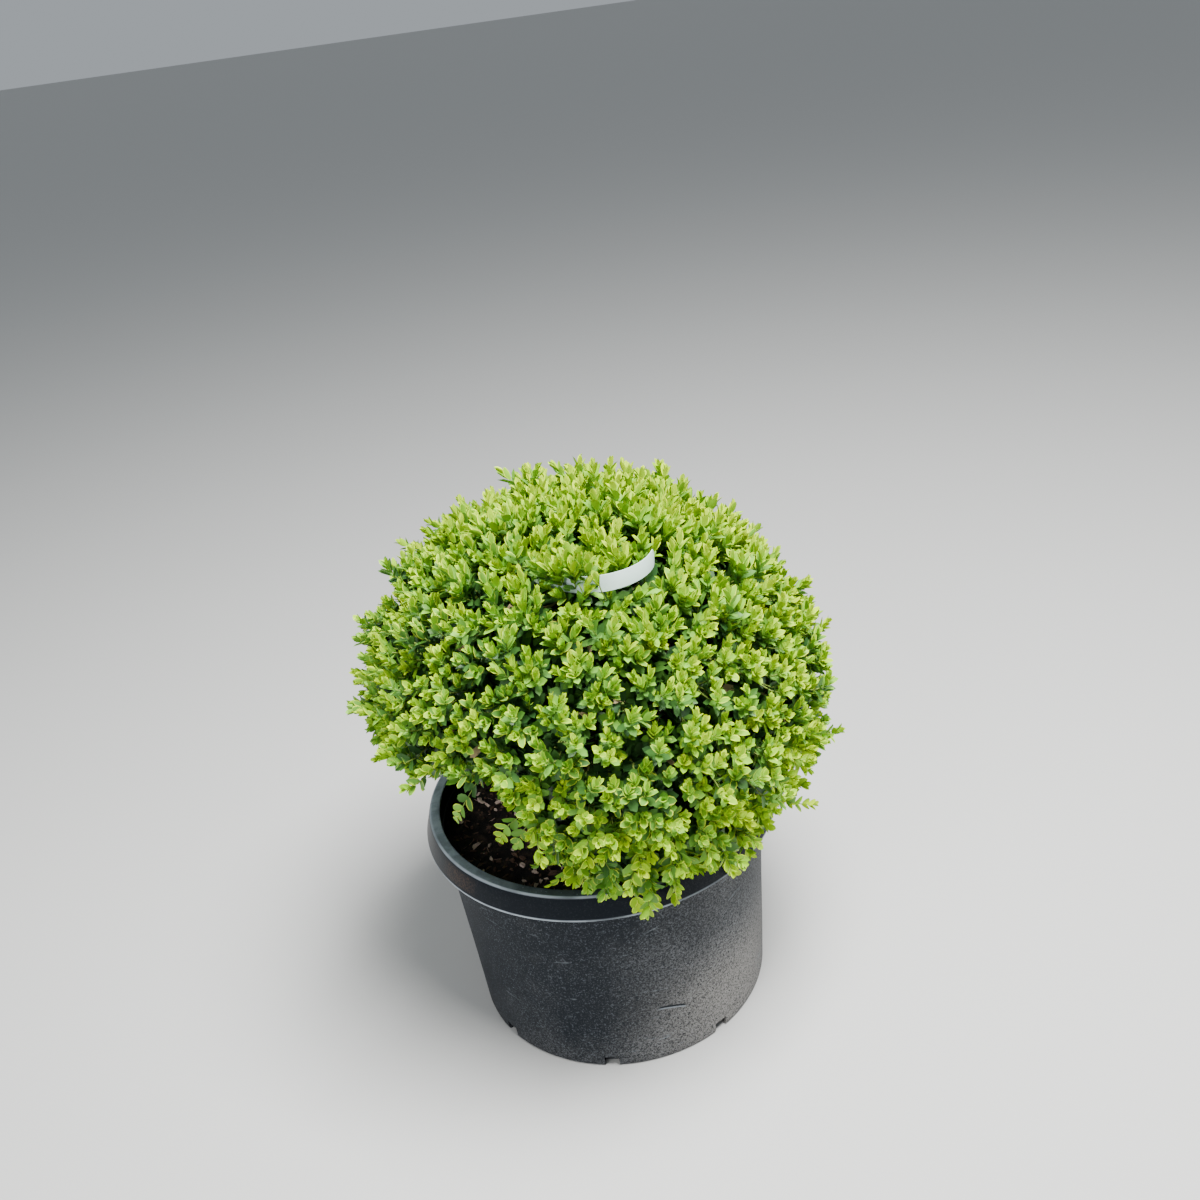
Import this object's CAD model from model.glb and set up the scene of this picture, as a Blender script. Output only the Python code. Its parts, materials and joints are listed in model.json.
import json
import math

import bmesh
import bpy
import numpy as np
from bpy.props import FloatProperty, FloatVectorProperty, IntProperty, PointerProperty
from bpy.types import Operator, Panel, PropertyGroup
from mathutils import Matrix, Vector, noise

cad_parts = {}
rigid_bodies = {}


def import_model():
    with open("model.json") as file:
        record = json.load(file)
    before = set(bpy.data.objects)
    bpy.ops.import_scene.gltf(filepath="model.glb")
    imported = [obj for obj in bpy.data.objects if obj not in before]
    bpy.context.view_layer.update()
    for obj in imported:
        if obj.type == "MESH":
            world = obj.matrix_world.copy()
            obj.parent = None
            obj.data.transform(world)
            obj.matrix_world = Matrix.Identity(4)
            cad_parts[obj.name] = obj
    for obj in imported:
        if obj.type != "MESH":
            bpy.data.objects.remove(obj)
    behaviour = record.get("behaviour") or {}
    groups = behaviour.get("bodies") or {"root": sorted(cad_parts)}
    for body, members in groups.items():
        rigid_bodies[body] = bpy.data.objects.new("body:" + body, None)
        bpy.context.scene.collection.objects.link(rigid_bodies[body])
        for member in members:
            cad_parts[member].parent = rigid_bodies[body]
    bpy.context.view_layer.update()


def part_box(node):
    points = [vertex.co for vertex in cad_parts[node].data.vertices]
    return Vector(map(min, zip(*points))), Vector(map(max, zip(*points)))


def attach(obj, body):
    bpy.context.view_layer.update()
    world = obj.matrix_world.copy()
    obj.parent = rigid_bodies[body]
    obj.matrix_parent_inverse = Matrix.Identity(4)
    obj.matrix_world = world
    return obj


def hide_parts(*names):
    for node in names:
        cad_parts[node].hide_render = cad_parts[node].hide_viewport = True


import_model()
POT_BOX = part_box("pot")
STEM_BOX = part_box("stem")

bl_info = {
    "name": "Box topiary ball",
    "version": (1, 0, 0),
    "blender": (4, 5, 0),
    "location": "3D View > Sidebar > Topiary",
    "description": "Dresses a packed box ball in its nursery pot with leaves, bark, growing mix and plastic",
    "category": "Object",
}

IMAGE_SIZE = 1200
UP = np.array([0.0, 0.0, 1.0])
GOLDEN_ANGLE = math.pi * (3 - math.sqrt(5))

# The crown, in metres: a squat ball with a straighter, uneven hem, on an axis that leans to +X
CROWN_CENTRE = np.array([0.016, 0.0, 0.384])
CROWN_LEAN = math.radians(13)
CROWN_RADIUS = 0.236
CROWN_RISE = 0.197
CROWN_DROP = 0.118
CROWN_TOP_POWER = 1.8
CROWN_HEM_POWER = 3.2
# No foliage grows from the crown's underside past this angle from its axis, in degrees
OPEN_POLAR = 138
# Azimuth and half width in degrees, and extra drop in metres, of each swell of the hem
HEM_SWELLS = (
    (-74, 58, 0.062),
    (-136, 40, -0.044),
    (-122, 24, -0.034),
    (-110, 20, -0.014),
    (-5, 60, 0.012),
    (174, 50, 0.014),
)
# Name, azimuth, polar angle and the height at which the bough leaves the stem
MASSES = (
    ("top", 0, 3, 0.264),
    ("front", -95, 66, 0.256),
    ("front_right", -35, 74, 0.248),
    ("back_right", 25, 76, 0.255),
    ("back", 85, 74, 0.247),
    ("back_left", 145, 74, 0.255),
    ("front_left", -155, 70, 0.248),
    ("low_front", -72, 120, 0.237),
)
# How far out of the crown's centre each mass has its middle and its inner side, as shares of the reach
MASS_CENTRE_FILL = 0.66
MASS_INNER_FILL = 0.42
# The stem, the boughs and the label, in metres, with the label's arc in degrees
STEM_FOOT = np.array([0.0, 0.0, STEM_BOX[0].z])
STEM_FORK = np.array([0.007, 0.0, 0.270])
STEM_BEND = np.array([-0.0015, 0.001, 0.0])
BOUGH_SPREAD = 0.034
BOUGH_LIFT = 0.016
BOUGH_SWAY = np.array([-0.004, 0.003, 0.0])
LABEL_CENTRE = np.array([0.030, -0.071, 0.532])
LABEL_RADIUS = 0.051
LABEL_HEIGHT = 0.016
LABEL_ARC = (-150, -10)
# The label's part that leaves keep in sight from the front: its azimuths, and how far before it and
# how steeply the view of it is kept open
LABEL_IN_SIGHT = (-91, -12)
LABEL_SIGHT_DEPTH = 0.030
LABEL_SIGHT_RISE = 0.5
LABEL_SIGHT_HALF = 0.011
LABEL_END_GAP = 3
LABEL_STEPS = 72

# Sprigs that stand out of the clipped outline, by the place of their tips
STRAY_TIPS = np.array([
    (-0.226, -0.035, 0.404),
    (-0.173, -0.159, 0.380),
    (0.079, 0.073, 0.562),
    (0.114, 0.068, 0.556),
    (0.176, 0.050, 0.515),
    (0.213, 0.026, 0.469),
    (0.252, -0.020, 0.407),
    (0.226, -0.092, 0.312),
    (0.020, -0.133, 0.566),
    (0.014, -0.129, 0.571),
    (0.007, -0.130, 0.563),
    (0.002, -0.123, 0.568),
    (-0.006, -0.121, 0.563),
    (-0.013, -0.114, 0.563),
    (-0.020, -0.106, 0.559),
    (-0.026, -0.096, 0.558),
])
# Sprigs that hang under the hem: the tip of each, and a place that it passes on its way there
SPRIGS = np.array([
    ((-0.142, -0.087, 0.284), (-0.115, -0.111, 0.344)),
    ((-0.103, -0.109, 0.268), (-0.082, -0.121, 0.317)),
    ((-0.086, -0.123, 0.267), (-0.071, -0.128, 0.317)),
    ((-0.074, -0.140, 0.258), (-0.034, -0.146, 0.268)),
    ((-0.063, -0.160, 0.247), (-0.033, -0.157, 0.262)),
    ((-0.025, -0.181, 0.249), (-0.017, -0.171, 0.271)),
    ((-0.004, -0.189, 0.246), (0.008, -0.180, 0.273)),
    ((0.019, -0.193, 0.229), (0.018, -0.183, 0.264)),
    ((0.036, -0.192, 0.229), (0.029, -0.182, 0.256)),
    ((0.075, -0.175, 0.250), (0.076, -0.166, 0.278)),
    ((0.119, -0.150, 0.216), (0.107, -0.152, 0.262)),
])
# How many shades deeper each of them is than its place gives
SPRIG_SHADES = (2.8, 2.2, 2.6, 2.6, 2.0, 1.8, 1.2, 0.9, 0.9, 1.2, 0.9)

# The pot's mouth, its floor's thickness, and the fineness of its shell
RIM_RADIUS = 0.178
LIP_WIDTH = 0.0105
POT_FLOOR = 0.0034
POT_SIDES = 168
POT_STEP = 0.009
# The wall's slow waves: their depth, and how many there are in a metre
WAVE_DEPTH = 0.0007
WAVE_RATE = 14
# The drain notches: how many, the azimuth of the first in degrees, and the size of each
NOTCH_COUNT = 8
NOTCH_AZIMUTH = -100.5
NOTCH_SIZE = (0.018, 0.015, 0.026)
# Where the pot is marked: its dustier side, the stain on its band and the lines across its lip
DUSTY_SIDE = math.radians(-43)
STAIN_AZIMUTH = math.radians(-145)
LIP_LINES = (math.radians(177), math.radians(-165.5))
# The sagging dent: its middle, the slope and sag of its line in metres by radians of azimuth, how far
# to each side it fades out, and the offset of the light line under it
DENT_AZIMUTH = math.radians(-75.5)
DENT_HEIGHT = 0.0708
DENT_SLOPE = -0.050
DENT_SAG = -0.15
DENT_ENDS = (0.105, 0.07)
DENT_LIGHT_OFFSET = -0.0023
# The mix: its gap to the wall, the height of its buried edge, and the fineness of its surface
MIX_GAP = 0.0004
MIX_FOOT = 0.012
MIX_SIDES = 220
MIX_RINGS = 84
# Chips and fibres are scattered from beside the stem to a little inside the wall
PATCH_START = 0.027
PATCH_EDGE = 0.009
PATCH_SIDES = 90
PATCH_RINGS = 24
CHIP_CORNERS = 7
# Length, width, thickness and seed of each form of chip and of fibre
CHIPS = (
    (0.011, 0.0048, 0.0016, 1),
    (0.008, 0.0050, 0.0018, 2),
    (0.013, 0.0036, 0.0014, 3),
    (0.006, 0.0042, 0.0016, 4),
)
FIBRES = (
    (0.020, 0.0007, 0.0006, 5),
    (0.014, 0.0008, 0.0006, 6),
)
# The fineness of the limbs, the seeds of their bark and the stem's lobed flare
STEM_SIDES = 56
STEM_STEPS = 60
STEM_SEED = 3
BOUGH_SIDES = 20
BOUGH_STEPS = 44
BOUGH_SEED = 10
FLARE_LOBES = 5
FLARE_HEIGHT = 0.014
# How often the bark's furrows and plates change in a metre, across the limb and along it
FURROW_RATES = (420, 55)
PLATE_RATES = (900, 260)

# How far each kind of tip strays from an even spiral, as a share of its spacing
BRANCH_LOOSENESS = 0.5
TWIG_LOOSENESS = 0.6
SHOOT_LOOSENESS = 0.85
TWIG_UNEVENNESS = 0.008
# The gap that each kind of tip keeps from the pot, and a shoot's tip from the label
BRANCH_GAP = 0.008
TWIG_GAP = 0.006
SHOOT_GAP = 0.002
SHOOT_LABEL_GAP = 0.003
# How high over the stem's foot anything inside the pot's mouth stays
LEAST_OVER_MIX = 0.006
# The depth and width of the swells and of the lumps in the clipped outline
SWELL_DEPTH = 0.006
SWELL_WIDTH = 0.045
LUMP_DEPTH = 0.004
LUMP_WIDTH = 0.02
# Bare places: how wide they are, how rare, how much less rare under the crown, and the polar angles
# from which and by which they are so
BARE_WIDTH = 0.022
BARE_RARITY = 0.58
BARE_UNDER = 0.22
BARE_POLARS = (90, 110)
# What sets the slow waves of the lumps, the bare places and the shades apart from the swells
LUMP_OFFSET = 3
BARE_OFFSET = 7
SHADE_OFFSET = 11
# How loosely the sprays and the shoots hold their headings
SPRAY_SWAY = 0.75
SHOOT_SWAY = 0.34
# The share of a shoot's length over which it has come round to its heading, and the length of its
# curve, in lengths of the straight way from its root to its tip
SHOOT_BEND = 0.55
CURVE_LENGTH = 1.04
# How far a hand-placed sprig's leaves reach past the tip of its stem
SPRIG_TIP_LEAF = 0.008
# How far leaves may stand out of the crown's outline, and those of the hand-placed sprigs
LEAF_OVERREACH = 0.023
SPRIG_OVERREACH = 0.15
# Points along each kind of wood, and its radius where it starts and where it ends
MASS_STEM_WOOD = (7, 0.003, 0.0024)
BRANCH_WOOD = (6, 0.0022, 0.0013)
TWIG_WOOD = (5, 0.0013, 0.0009)
SHOOT_WOOD = (5, 0.0009, 0.0005)
MASS_STEM_BEND = 0.012
MASS_STEM_REACH = 0.8
BRANCH_RISE = 0.006
TWIG_SPREAD = 0.12

# Leaf pairs of one shoot from its tip down: how far back each sits, how far it leans out, and its size
PAIR_BACK = np.array([0.0, 0.0023, 0.0056, 0.0096, 0.0140, 0.0188, 0.0242, 0.0305])
PAIR_TILT = np.array([8, 18, 27, 34, 40, 46, 52, 58])
PAIR_SIZE = np.array([0.62, 0.82, 0.95, 1.02, 1.06, 1.04, 1.02, 0.98])
PAIR_AGE = np.array([0, 0.2, 0.9, 2.0, 3.0, 4.1, 5.2, 6.0])
# The first pairs have the finer leaf forms
FULL_PAIRS = 4
# How the size of leaves goes with the polar angle, and with the luck of the spray
SIZE_POLARS = (35, 68, 95, 118)
SIZES = (1.08, 0.90, 0.88, 1.0)
LEAST_SPRAY_SIZE = 0.90
SPRAY_SIZE_LUCK = 0.22
# How strongly shoots turn up, or down below the crown's widest part, by their polar angle
LIFT_POLARS = (72, 90, 104, 116, 128)
LIFTS = (1.7, 1.2, 0.35, -0.5, -0.9)
# How much more the shoots of the crown's front turn up
FRONT_LIFT = 0.9
FRONT_LIFT_POLARS = (85, 100)
# How much less the shoots of the two sides turn up, the left one first
SIDE_DROPS = (0.65, 0.55)
# How much of the hem's leaf form the shoots that don't face the front take
HEM_ELSEWHERE = 0.42
FRONT_FACING = 1.5
# The share of the shoots that don't stand proud of the rest
PLAIN_SHARE = 0.75
# Shoots are of the hem's form from the second of these polar angles, and of the top's from the third
FORM_POLARS = (72, 108, 42)
# Shoots on top hold narrower leaves more upright on longer stems
TOP_TILT = -5
TOP_STRETCH = 0.22
TOP_BREADTH = -0.08
# Shoots at the hem lean their leaves further out, on longer stems, and their leaves are rounder
HEM_TILT = 16
HEM_STRETCH = 0.90
HEM_BREADTH = 0.42
# The hanging sprigs have round leaves in two flat rows, with wide gaps
SPRIG_STRETCH = 3.2
SPRIG_BREADTH = 1.45
# A spray is the shoots of one twig: its radius, the furthest that a shoot counts as from its axis, in
# such radii, and how much its rim sinks, closes in and leans out
SPRAY_RADIUS = 0.020
SPRAY_LIMIT = 1.25
SPRAY_SINK = 0.0065
SPRAY_CLOSING = 0.12
SPRAY_LEAN = 0.40
# How much a leaf turns, differs in size and breadth, and leans by luck
LEAF_TURN_LUCK = 0.25
LEAF_SIZE_LUCK = 0.26
LEAF_BREADTH_LUCK = 0.22
LEAF_TILT_LUCK = 14
# A leaf that doesn't fit at its tilt closes up by the next of these angles, and is left out after the last
LEAF_EASES = (0, 14, 28)
LEAST_TILT = 4
# How much leaves turn up, and their faces turn to the sky
LEAF_RISE = 0.08
FACE_RISE = 0.30
FLAT_FACE_FORWARD = 0.5
FLAT_FACE_RISE = 0.2
# Leaves are dealt out in shades from the brightest to the oldest, and one more for dead ones
SHADE_COUNT = 9
STRAW_SHADE = SHADE_COUNT
# What makes a shoot's leaves deeper: its place from the top down, its side, slow waves and its spray's rim
SHADE_START = -0.45
SHADE_LOW = 2.3
SHADE_LOW_POLARS = (20, 115)
SHADE_LOW_POWER = 1.1
SHADE_LEFT = 0.55
SHADE_WAVES = 0.8
SHADE_WAVE_WIDTH = 0.05
SHADE_SUNK = 1.3
# The luck of its spray, its own and each leaf's, and how much more of the first two there is low down
SPRAY_SHADE_LUCK = 1.9
SHOOT_SHADE_LUCK = 1.3
LEAF_SHADE_LUCK = 1.3
LOW_SHADE_LUCK = 0.5
# The old leaves inside: their pairs and size along twigs and branches, and their form
TWIG_LEAVES = (7, 1.4)
BRANCH_LEAVES = (15, 1.85)
INNER_START = 0.14
INNER_RISE = 0.004
INNER_TILT = 62
INNER_BREADTH = 1.15
INNER_SHADES = 3
STRAW_SHARE = 0.03
# The leaf's thickness, the share of its half width inside its rim, and how much of the margin's colour
# the rim takes at the brightest shade, more in the middle shades and less at the oldest
LEAF_THICKNESS = 0.035
RIM_SHARE = 0.74
RIM_PALENESS = 0.44
RIM_MIDDLE = 0.90
RIM_FADING = 0.20
# How strongly the brightest and the oldest leaves reflect
YOUNG_GLOSS = 0.05
OLD_GLOSS = 0.35

# The lamps, the floor, and the pixel of the square image at which the middle of the rim is seen
KEY_PLACE = (0.5, -0.5, 2.3)
KEY_SIZE = 1.0
FILL_PLACE = (-1.4, -1.9, 1.5)
FILL_SIZE = 1.2
FLOOR_REACH = 80
RIM_PIXEL = (597.4, 782.1)


# Sizes and colours

def metres(name, description, default):
    return FloatProperty(name=name, description=description, default=default, unit="LENGTH", precision=4)


def colour(name, description, default):
    return FloatVectorProperty(
        name=name, description=description, default=default, subtype="COLOR", min=0, max=1)


def number(name, description, default):
    return FloatProperty(name=name, description=description, default=default)


def degrees(name, description, default):
    return FloatProperty(name=name, description=description, default=math.radians(default), subtype="ANGLE")


class PotSettings(PropertyGroup):
    height: metres("Height", "From the underside to the top of the lip", POT_BOX[1].z)
    flange_radius: metres("Flange radius", "Radius at the foot of the flared band", POT_BOX[1].x)
    rim_radius: metres("Rim radius", "Radius at the top of the lip", RIM_RADIUS)
    shoulder_radius: metres("Shoulder radius", "Radius of the wall where it meets the band", 0.1695)
    base_radius: metres("Base radius", "Radius of the underside", 0.1574)
    band_height: metres("Band height", "Height of the flared band under the lip", 0.024)
    wall: metres("Wall", "Thickness of the moulded wall", 0.0026)
    lip_width: metres("Lip width", "Width of the flat lip", LIP_WIDTH)
    plastic: colour("Plastic", "The black plastic", (0.0022, 0.0048, 0.0085))
    dust: colour("Dust", "Dust on the wall", (0.19, 0.19, 0.192))
    dried_mud: colour("Dried mud", "Thicker dried splashes low on the dustier side", (0.34, 0.315, 0.28))
    lip_dust: colour("Lip dust", "Dust that lies on the flat lip", (0.25, 0.305, 0.335))
    stain: colour("Stain", "Reddish dust on one place of the band", (0.040, 0.024, 0.018))
    scuff: colour("Scuff", "Pale scuffs on the wall", (0.19, 0.215, 0.24))
    rubbed: colour("Rubbed edge", "The rubbed edges of the lip and the flange", (0.40, 0.45, 0.50))
    grit: colour("Grit", "Fine grit that clings all over the wall", (0.165, 0.185, 0.22))


class MixSettings(PropertyGroup):
    depth_below_rim: metres("Depth below the rim", "How far the surface lies under the lip", 0.030)
    relief: metres("Relief", "Height of the crumbs on the surface", 0.0035)
    chip_density: number("Chip density", "Bark chips on each square metre of the surface", 5200)
    fibre_density: number("Fibre density", "Fibres on each square metre of the surface", 5000)
    dark: colour("Dark mix", "Damp, dark parts of the mix", (0.006, 0.0045, 0.0035))
    brown: colour("Brown mix", "Drier crumbs of the mix", (0.052, 0.033, 0.024))
    chip: colour("Chip", "Pale bark chips", (0.92, 0.70, 0.58))
    old_chip: colour("Old chip", "Weathered brown chips", (0.17, 0.098, 0.066))


class WoodSettings(PropertyGroup):
    stem_foot_radius: metres("Stem foot radius", "Radius of the stem at the mix, without its flare", 0.015)
    stem_fork_radius: metres("Stem fork radius", "Radius of the stem at its top", 0.0115)
    root_flare: metres("Root flare", "How far the foot of the stem spreads", 0.008)
    bough_root_radius: metres("Bough root radius", "Radius of each bough at the stem", 0.0052)
    bough_tip_radius: metres("Bough tip radius", "Radius of each bough at its mass", 0.003)
    bark_relief: metres("Bark relief", "Depth of the furrows in the bark", 0.0011)
    bark: colour("Bark", "Ridges of the old bark", (0.22, 0.165, 0.105))
    furrow: colour("Furrow", "Furrows of the old bark", (0.062, 0.044, 0.028))
    lichen: colour("Lichen", "Grey-green growth on the old bark", (0.24, 0.25, 0.16))
    young_bark: colour("Young bark", "Bark of the fine twigs", (0.17, 0.14, 0.062))
    green_bark: colour("Green shoot", "Skin of this year's shoots", (0.23, 0.33, 0.050))


class FoliageSettings(PropertyGroup):
    shoot_count: IntProperty(name="Shoots", description="Shoot tips round a whole ball", default=2850)
    twig_count: IntProperty(name="Twigs", description="Twig tips round a whole ball", default=520)
    branch_count: IntProperty(name="Branches", description="Branch tips round a whole ball", default=160)
    branch_depth: metres("Branch depth", "How deep under the outline the branches end", 0.066)
    twig_depth: metres("Twig depth", "How deep under the outline the twigs end", 0.048)
    shoot_depth: metres("Shoot depth", "How deep under the outline the last leaf pairs sit", 0.0085)
    unevenness: metres("Unevenness", "How much the shoots differ in reach", 0.011)
    proud: metres("Proud shoots", "How far the longest shoots stand out of the clipped outline", 0.018)
    leaf_length: metres("Leaf length", "Length of a full-grown leaf", 0.0142)
    leaf_width: metres("Leaf width", "Width of a full-grown leaf", 0.0067)
    seed: IntProperty(name="Seed", description="Seed of the growth rule", default=11)
    new_growth: colour("New growth", "The brightest young leaves", (0.40, 0.575, 0.001))
    grown: colour("Grown", "Leaves of the middle age", (0.185, 0.41, 0.034))
    old: colour("Old", "The oldest and most shaded leaves", (0.022, 0.074, 0.016))
    margin: colour("Margin", "The pale rim of each leaf", (0.80, 0.92, 0.045))
    straw: colour("Straw", "The few dead leaves", (0.52, 0.40, 0.20))


class LabelSettings(PropertyGroup):
    thickness: metres("Thickness", "Thickness of the strip", 0.0009)
    plastic: colour("Plastic", "The blank white strip", (0.72, 0.89, 0.86))


class StageSettings(PropertyGroup):
    floor: colour("Floor", "The plain pale floor", (0.50, 0.50, 0.485))
    sky: colour("Sky", "Soft light from all round", (0.86, 0.93, 1.0))
    sky_strength: number("Sky strength", "Strength of the light from all round", 0.43)
    key_power: number("Key power", "Power of the large lamp overhead, in watts", 204)
    fill_power: number("Fill power", "Power of the lamp at the front left, in watts", 34)
    elevation: degrees("Camera elevation", "Angle of the view on the pot above the horizon", 35.3)
    roll: degrees("Camera roll", "How far the camera is turned about its view of the pot", -8.9)
    distance: metres("Camera distance", "From the camera to the middle of the rim", 1.281)
    focal_pixels: number("Focal length", "Focal length in pixels of the square image", 1202)


# Node trees

def socket_of(sockets, key):
    """A node's socket by its identifier, or else by its name or its order."""
    by_identifier = {socket.identifier: socket for socket in sockets}
    return by_identifier[key] if key in by_identifier else sockets[key]


class Socket:
    """A node's output. Sums on number sockets add Math nodes."""

    def __init__(self, maker, socket):
        self.maker = maker
        self.socket = socket

    def math(self, operation, *values, clamp=False):
        inputs = dict(enumerate(values))
        return self.maker.add("ShaderNodeMath", {"operation": operation, "use_clamp": clamp}, inputs)

    def __add__(self, other):
        return self.math("ADD", self, other)

    def __radd__(self, other):
        return self.math("ADD", other, self)

    def __sub__(self, other):
        return self.math("SUBTRACT", self, other)

    def __rsub__(self, other):
        return self.math("SUBTRACT", other, self)

    def __mul__(self, other):
        return self.math("MULTIPLY", self, other)

    def __rmul__(self, other):
        return self.math("MULTIPLY", other, self)

    def __truediv__(self, other):
        return self.math("DIVIDE", self, other)

    def __pow__(self, other):
        return self.math("POWER", self, other)

    def clamped(self):
        return self.math("ADD", self, 0, clamp=True)

    def cos(self):
        return self.math("COSINE", self)

    def absolute(self):
        return self.math("ABSOLUTE", self)

    def between(self, low, high):
        """0 below low, 1 above high, and smooth in between. It falls where low is the larger."""
        settings = {"interpolation_type": "SMOOTHSTEP"}
        inputs = {"Value": self, "From Min": low, "From Max": high}
        return self.maker.add("ShaderNodeMapRange", settings, inputs)


class Nodes:
    """Adds nodes to a tree: a node's settings are set first, then its sockets get values or links."""

    def __init__(self, tree):
        self.tree = tree

    def add(self, kind, settings=None, inputs=None, output=0):
        """A new node's output, by its identifier, name or order."""
        node = self.tree.nodes.new(kind)
        for name, value in (settings or {}).items():
            setattr(node, name, value)
        self.feed(node, inputs or {})
        return Socket(self, socket_of(node.outputs, output))

    def feed(self, node, inputs):
        for key, value in inputs.items():
            socket = socket_of(node.inputs, key)
            if isinstance(value, Socket):
                self.tree.links.new(value.socket, socket)
            else:
                socket.default_value = value

    def mixed(self, share, first, second):
        """The first colour where share is 0, and the second where it is 1."""
        inputs = {"Factor_Float": share, "A_Color": first, "B_Color": second}
        return self.add("ShaderNodeMix", {"data_type": "RGBA"}, inputs, "Result_Color")

    def object_place(self):
        return self.add("ShaderNodeTexCoord", output="Object")

    def xyz(self, vector):
        """The three numbers of a vector."""
        return [self.add("ShaderNodeSeparateXYZ", inputs={0: vector}, output=order) for order in range(3)]

    def combined(self, x, y, z):
        return self.add("ShaderNodeCombineXYZ", inputs={"X": x, "Y": y, "Z": z})

    def noise(self, place, scale, detail=2.0, roughness=0.5, distortion=0.0):
        inputs = {"Vector": place, "Scale": scale, "Detail": detail, "Roughness": roughness,
                  "Distortion": distortion}
        return self.add("ShaderNodeTexNoise", inputs=inputs)

    def bump(self, height, strength, distance):
        inputs = {"Height": height, "Strength": strength, "Distance": distance}
        return self.add("ShaderNodeBump", inputs=inputs)


def rgba(value):
    return (*value, 1.0)


def deeper(paint, share):
    """A colour with each part cut down to a share."""
    return tuple(part * share for part in paint)


def new_material(name, values, build=None):
    """A Principled material. The values go on the shader's own sockets, and build adds those that vary."""
    material = bpy.data.materials.new(name)
    material.use_nodes = True
    nodes = Nodes(material.node_tree)
    shader = material.node_tree.nodes["Principled BSDF"]
    nodes.feed(shader, values)
    if build:
        nodes.feed(shader, build(nodes))
    material.diffuse_color = tuple(shader.inputs["Base Color"].default_value)
    return material


def new_tree(name, sockets):
    """A Geometry Nodes tree from geometry to geometry, with its named inputs."""
    tree = bpy.data.node_groups.new(name, "GeometryNodeTree")
    tree.interface.new_socket("Geometry", in_out="INPUT", socket_type="NodeSocketGeometry")
    for label, kind in sockets.items():
        tree.interface.new_socket(label, in_out="INPUT", socket_type=kind)
    tree.interface.new_socket("Geometry", in_out="OUTPUT", socket_type="NodeSocketGeometry")
    nodes = Nodes(tree)
    entry = tree.nodes.new("NodeGroupInput")
    return nodes, {output.name: Socket(nodes, output) for output in entry.outputs if output.name}


def close_tree(nodes, geometry):
    nodes.feed(nodes.tree.nodes.new("NodeGroupOutput"), {"Geometry": geometry})
    return nodes.tree


def grown_mesh(name, base, tree, values):
    """The plain mesh that a Geometry Nodes tree makes from a base mesh."""
    maker = bpy.data.objects.new(name, base)
    bpy.context.scene.collection.objects.link(maker)
    modifier = maker.modifiers.new("Growth", "NODES")
    modifier.node_group = tree
    for item in tree.interface.items_tree:
        if item.item_type == "SOCKET" and item.in_out == "INPUT" and item.name in values:
            modifier[item.identifier] = values[item.name]
    depsgraph = bpy.context.evaluated_depsgraph_get()
    evaluated = maker.evaluated_get(depsgraph)
    mesh = bpy.data.meshes.new_from_object(evaluated, preserve_all_data_layers=True, depsgraph=depsgraph)
    maker.modifiers.remove(modifier)
    bpy.data.objects.remove(maker)
    bpy.data.meshes.remove(base)
    while mesh.materials and mesh.materials[0] is None:
        mesh.materials.pop(index=0)
    return mesh


# Meshes and pieces

def add_piece(name, mesh, slot, *nodes):
    """Shows a finished mesh on the object's one body, in place of the CAD nodes given."""
    mesh.name = name
    piece = bpy.data.objects.new(name, mesh)
    bpy.context.scene.collection.objects.link(piece)
    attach(piece, "root")
    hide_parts(*nodes)
    return piece


def ring_faces(count, sides):
    """Four-sided faces between rings of points, ring after ring."""
    faces = []
    for start in range(0, (count - 1) * sides, sides):
        for side in range(sides):
            after = (side + 1) % sides
            faces.append((start + side, start + after, start + sides + after, start + sides + side))
    return faces


def skin(rings):
    """A closed mesh over rings of points, each with as many points, capped at both ends."""
    rings = np.asarray(rings)
    count, sides = rings.shape[:2]
    points = [tuple(point) for point in rings.reshape(-1, 3)]
    faces = ring_faces(count, sides)
    for row, turn in ((0, -1), (count - 1, 1)):
        points.append(tuple(rings[row].mean(axis=0)))
        middle = len(points) - 1
        for side in range(sides):
            pair = (row * sides + side, row * sides + (side + 1) % sides)
            faces.append((*pair[::turn], middle))
    mesh = bpy.data.meshes.new("skin")
    mesh.from_pydata(points, [], faces)
    face_outwards(mesh)
    return mesh


def face_outwards(mesh):
    """Turns a closed mesh's faces outwards and shades them smooth."""
    work = bmesh.new()
    work.from_mesh(mesh)
    bmesh.ops.recalc_face_normals(work, faces=work.faces)
    work.to_mesh(mesh)
    work.free()
    mesh.shade_smooth()


def lathe_rings(profile, sides):
    """Rings about the Z axis from [radius, height] points."""
    angles = np.linspace(0, 2 * np.pi, sides, endpoint=False)
    around = np.stack([np.cos(angles), np.sin(angles)], axis=1)
    return np.array([[(radius * x, radius * y, height) for x, y in around] for radius, height in profile])


def rounded(profile, radii, steps=5):
    """A profile with each corner of a radius above 0 cut back and rounded."""
    points = [np.array(point, float) for point in profile]
    result = [points[0]]
    for before, corner, after, radius in zip(points, points[1:], points[2:], radii):
        if radius <= 0:
            result.append(corner)
            continue
        reach_back = min(radius, np.linalg.norm(before - corner) * 0.48)
        reach_on = min(radius, np.linalg.norm(after - corner) * 0.48)
        start = corner + unit(before - corner) * reach_back
        end = corner + unit(after - corner) * reach_on
        for t in np.linspace(0, 1, steps):
            result.append((1 - t) ** 2 * start + 2 * t * (1 - t) * corner + t ** 2 * end)
    result.append(points[-1])
    return result


def divided(profile, longest):
    """A profile with its long stretches cut into steps no longer than given."""
    result = [np.array(profile[0], float)]
    for before, after in zip(profile, profile[1:]):
        before, after = np.array(before, float), np.array(after, float)
        steps = max(1, math.ceil(np.linalg.norm(after - before) / longest))
        result.extend(before + (after - before) * step / steps for step in range(1, steps + 1))
    return result


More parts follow.
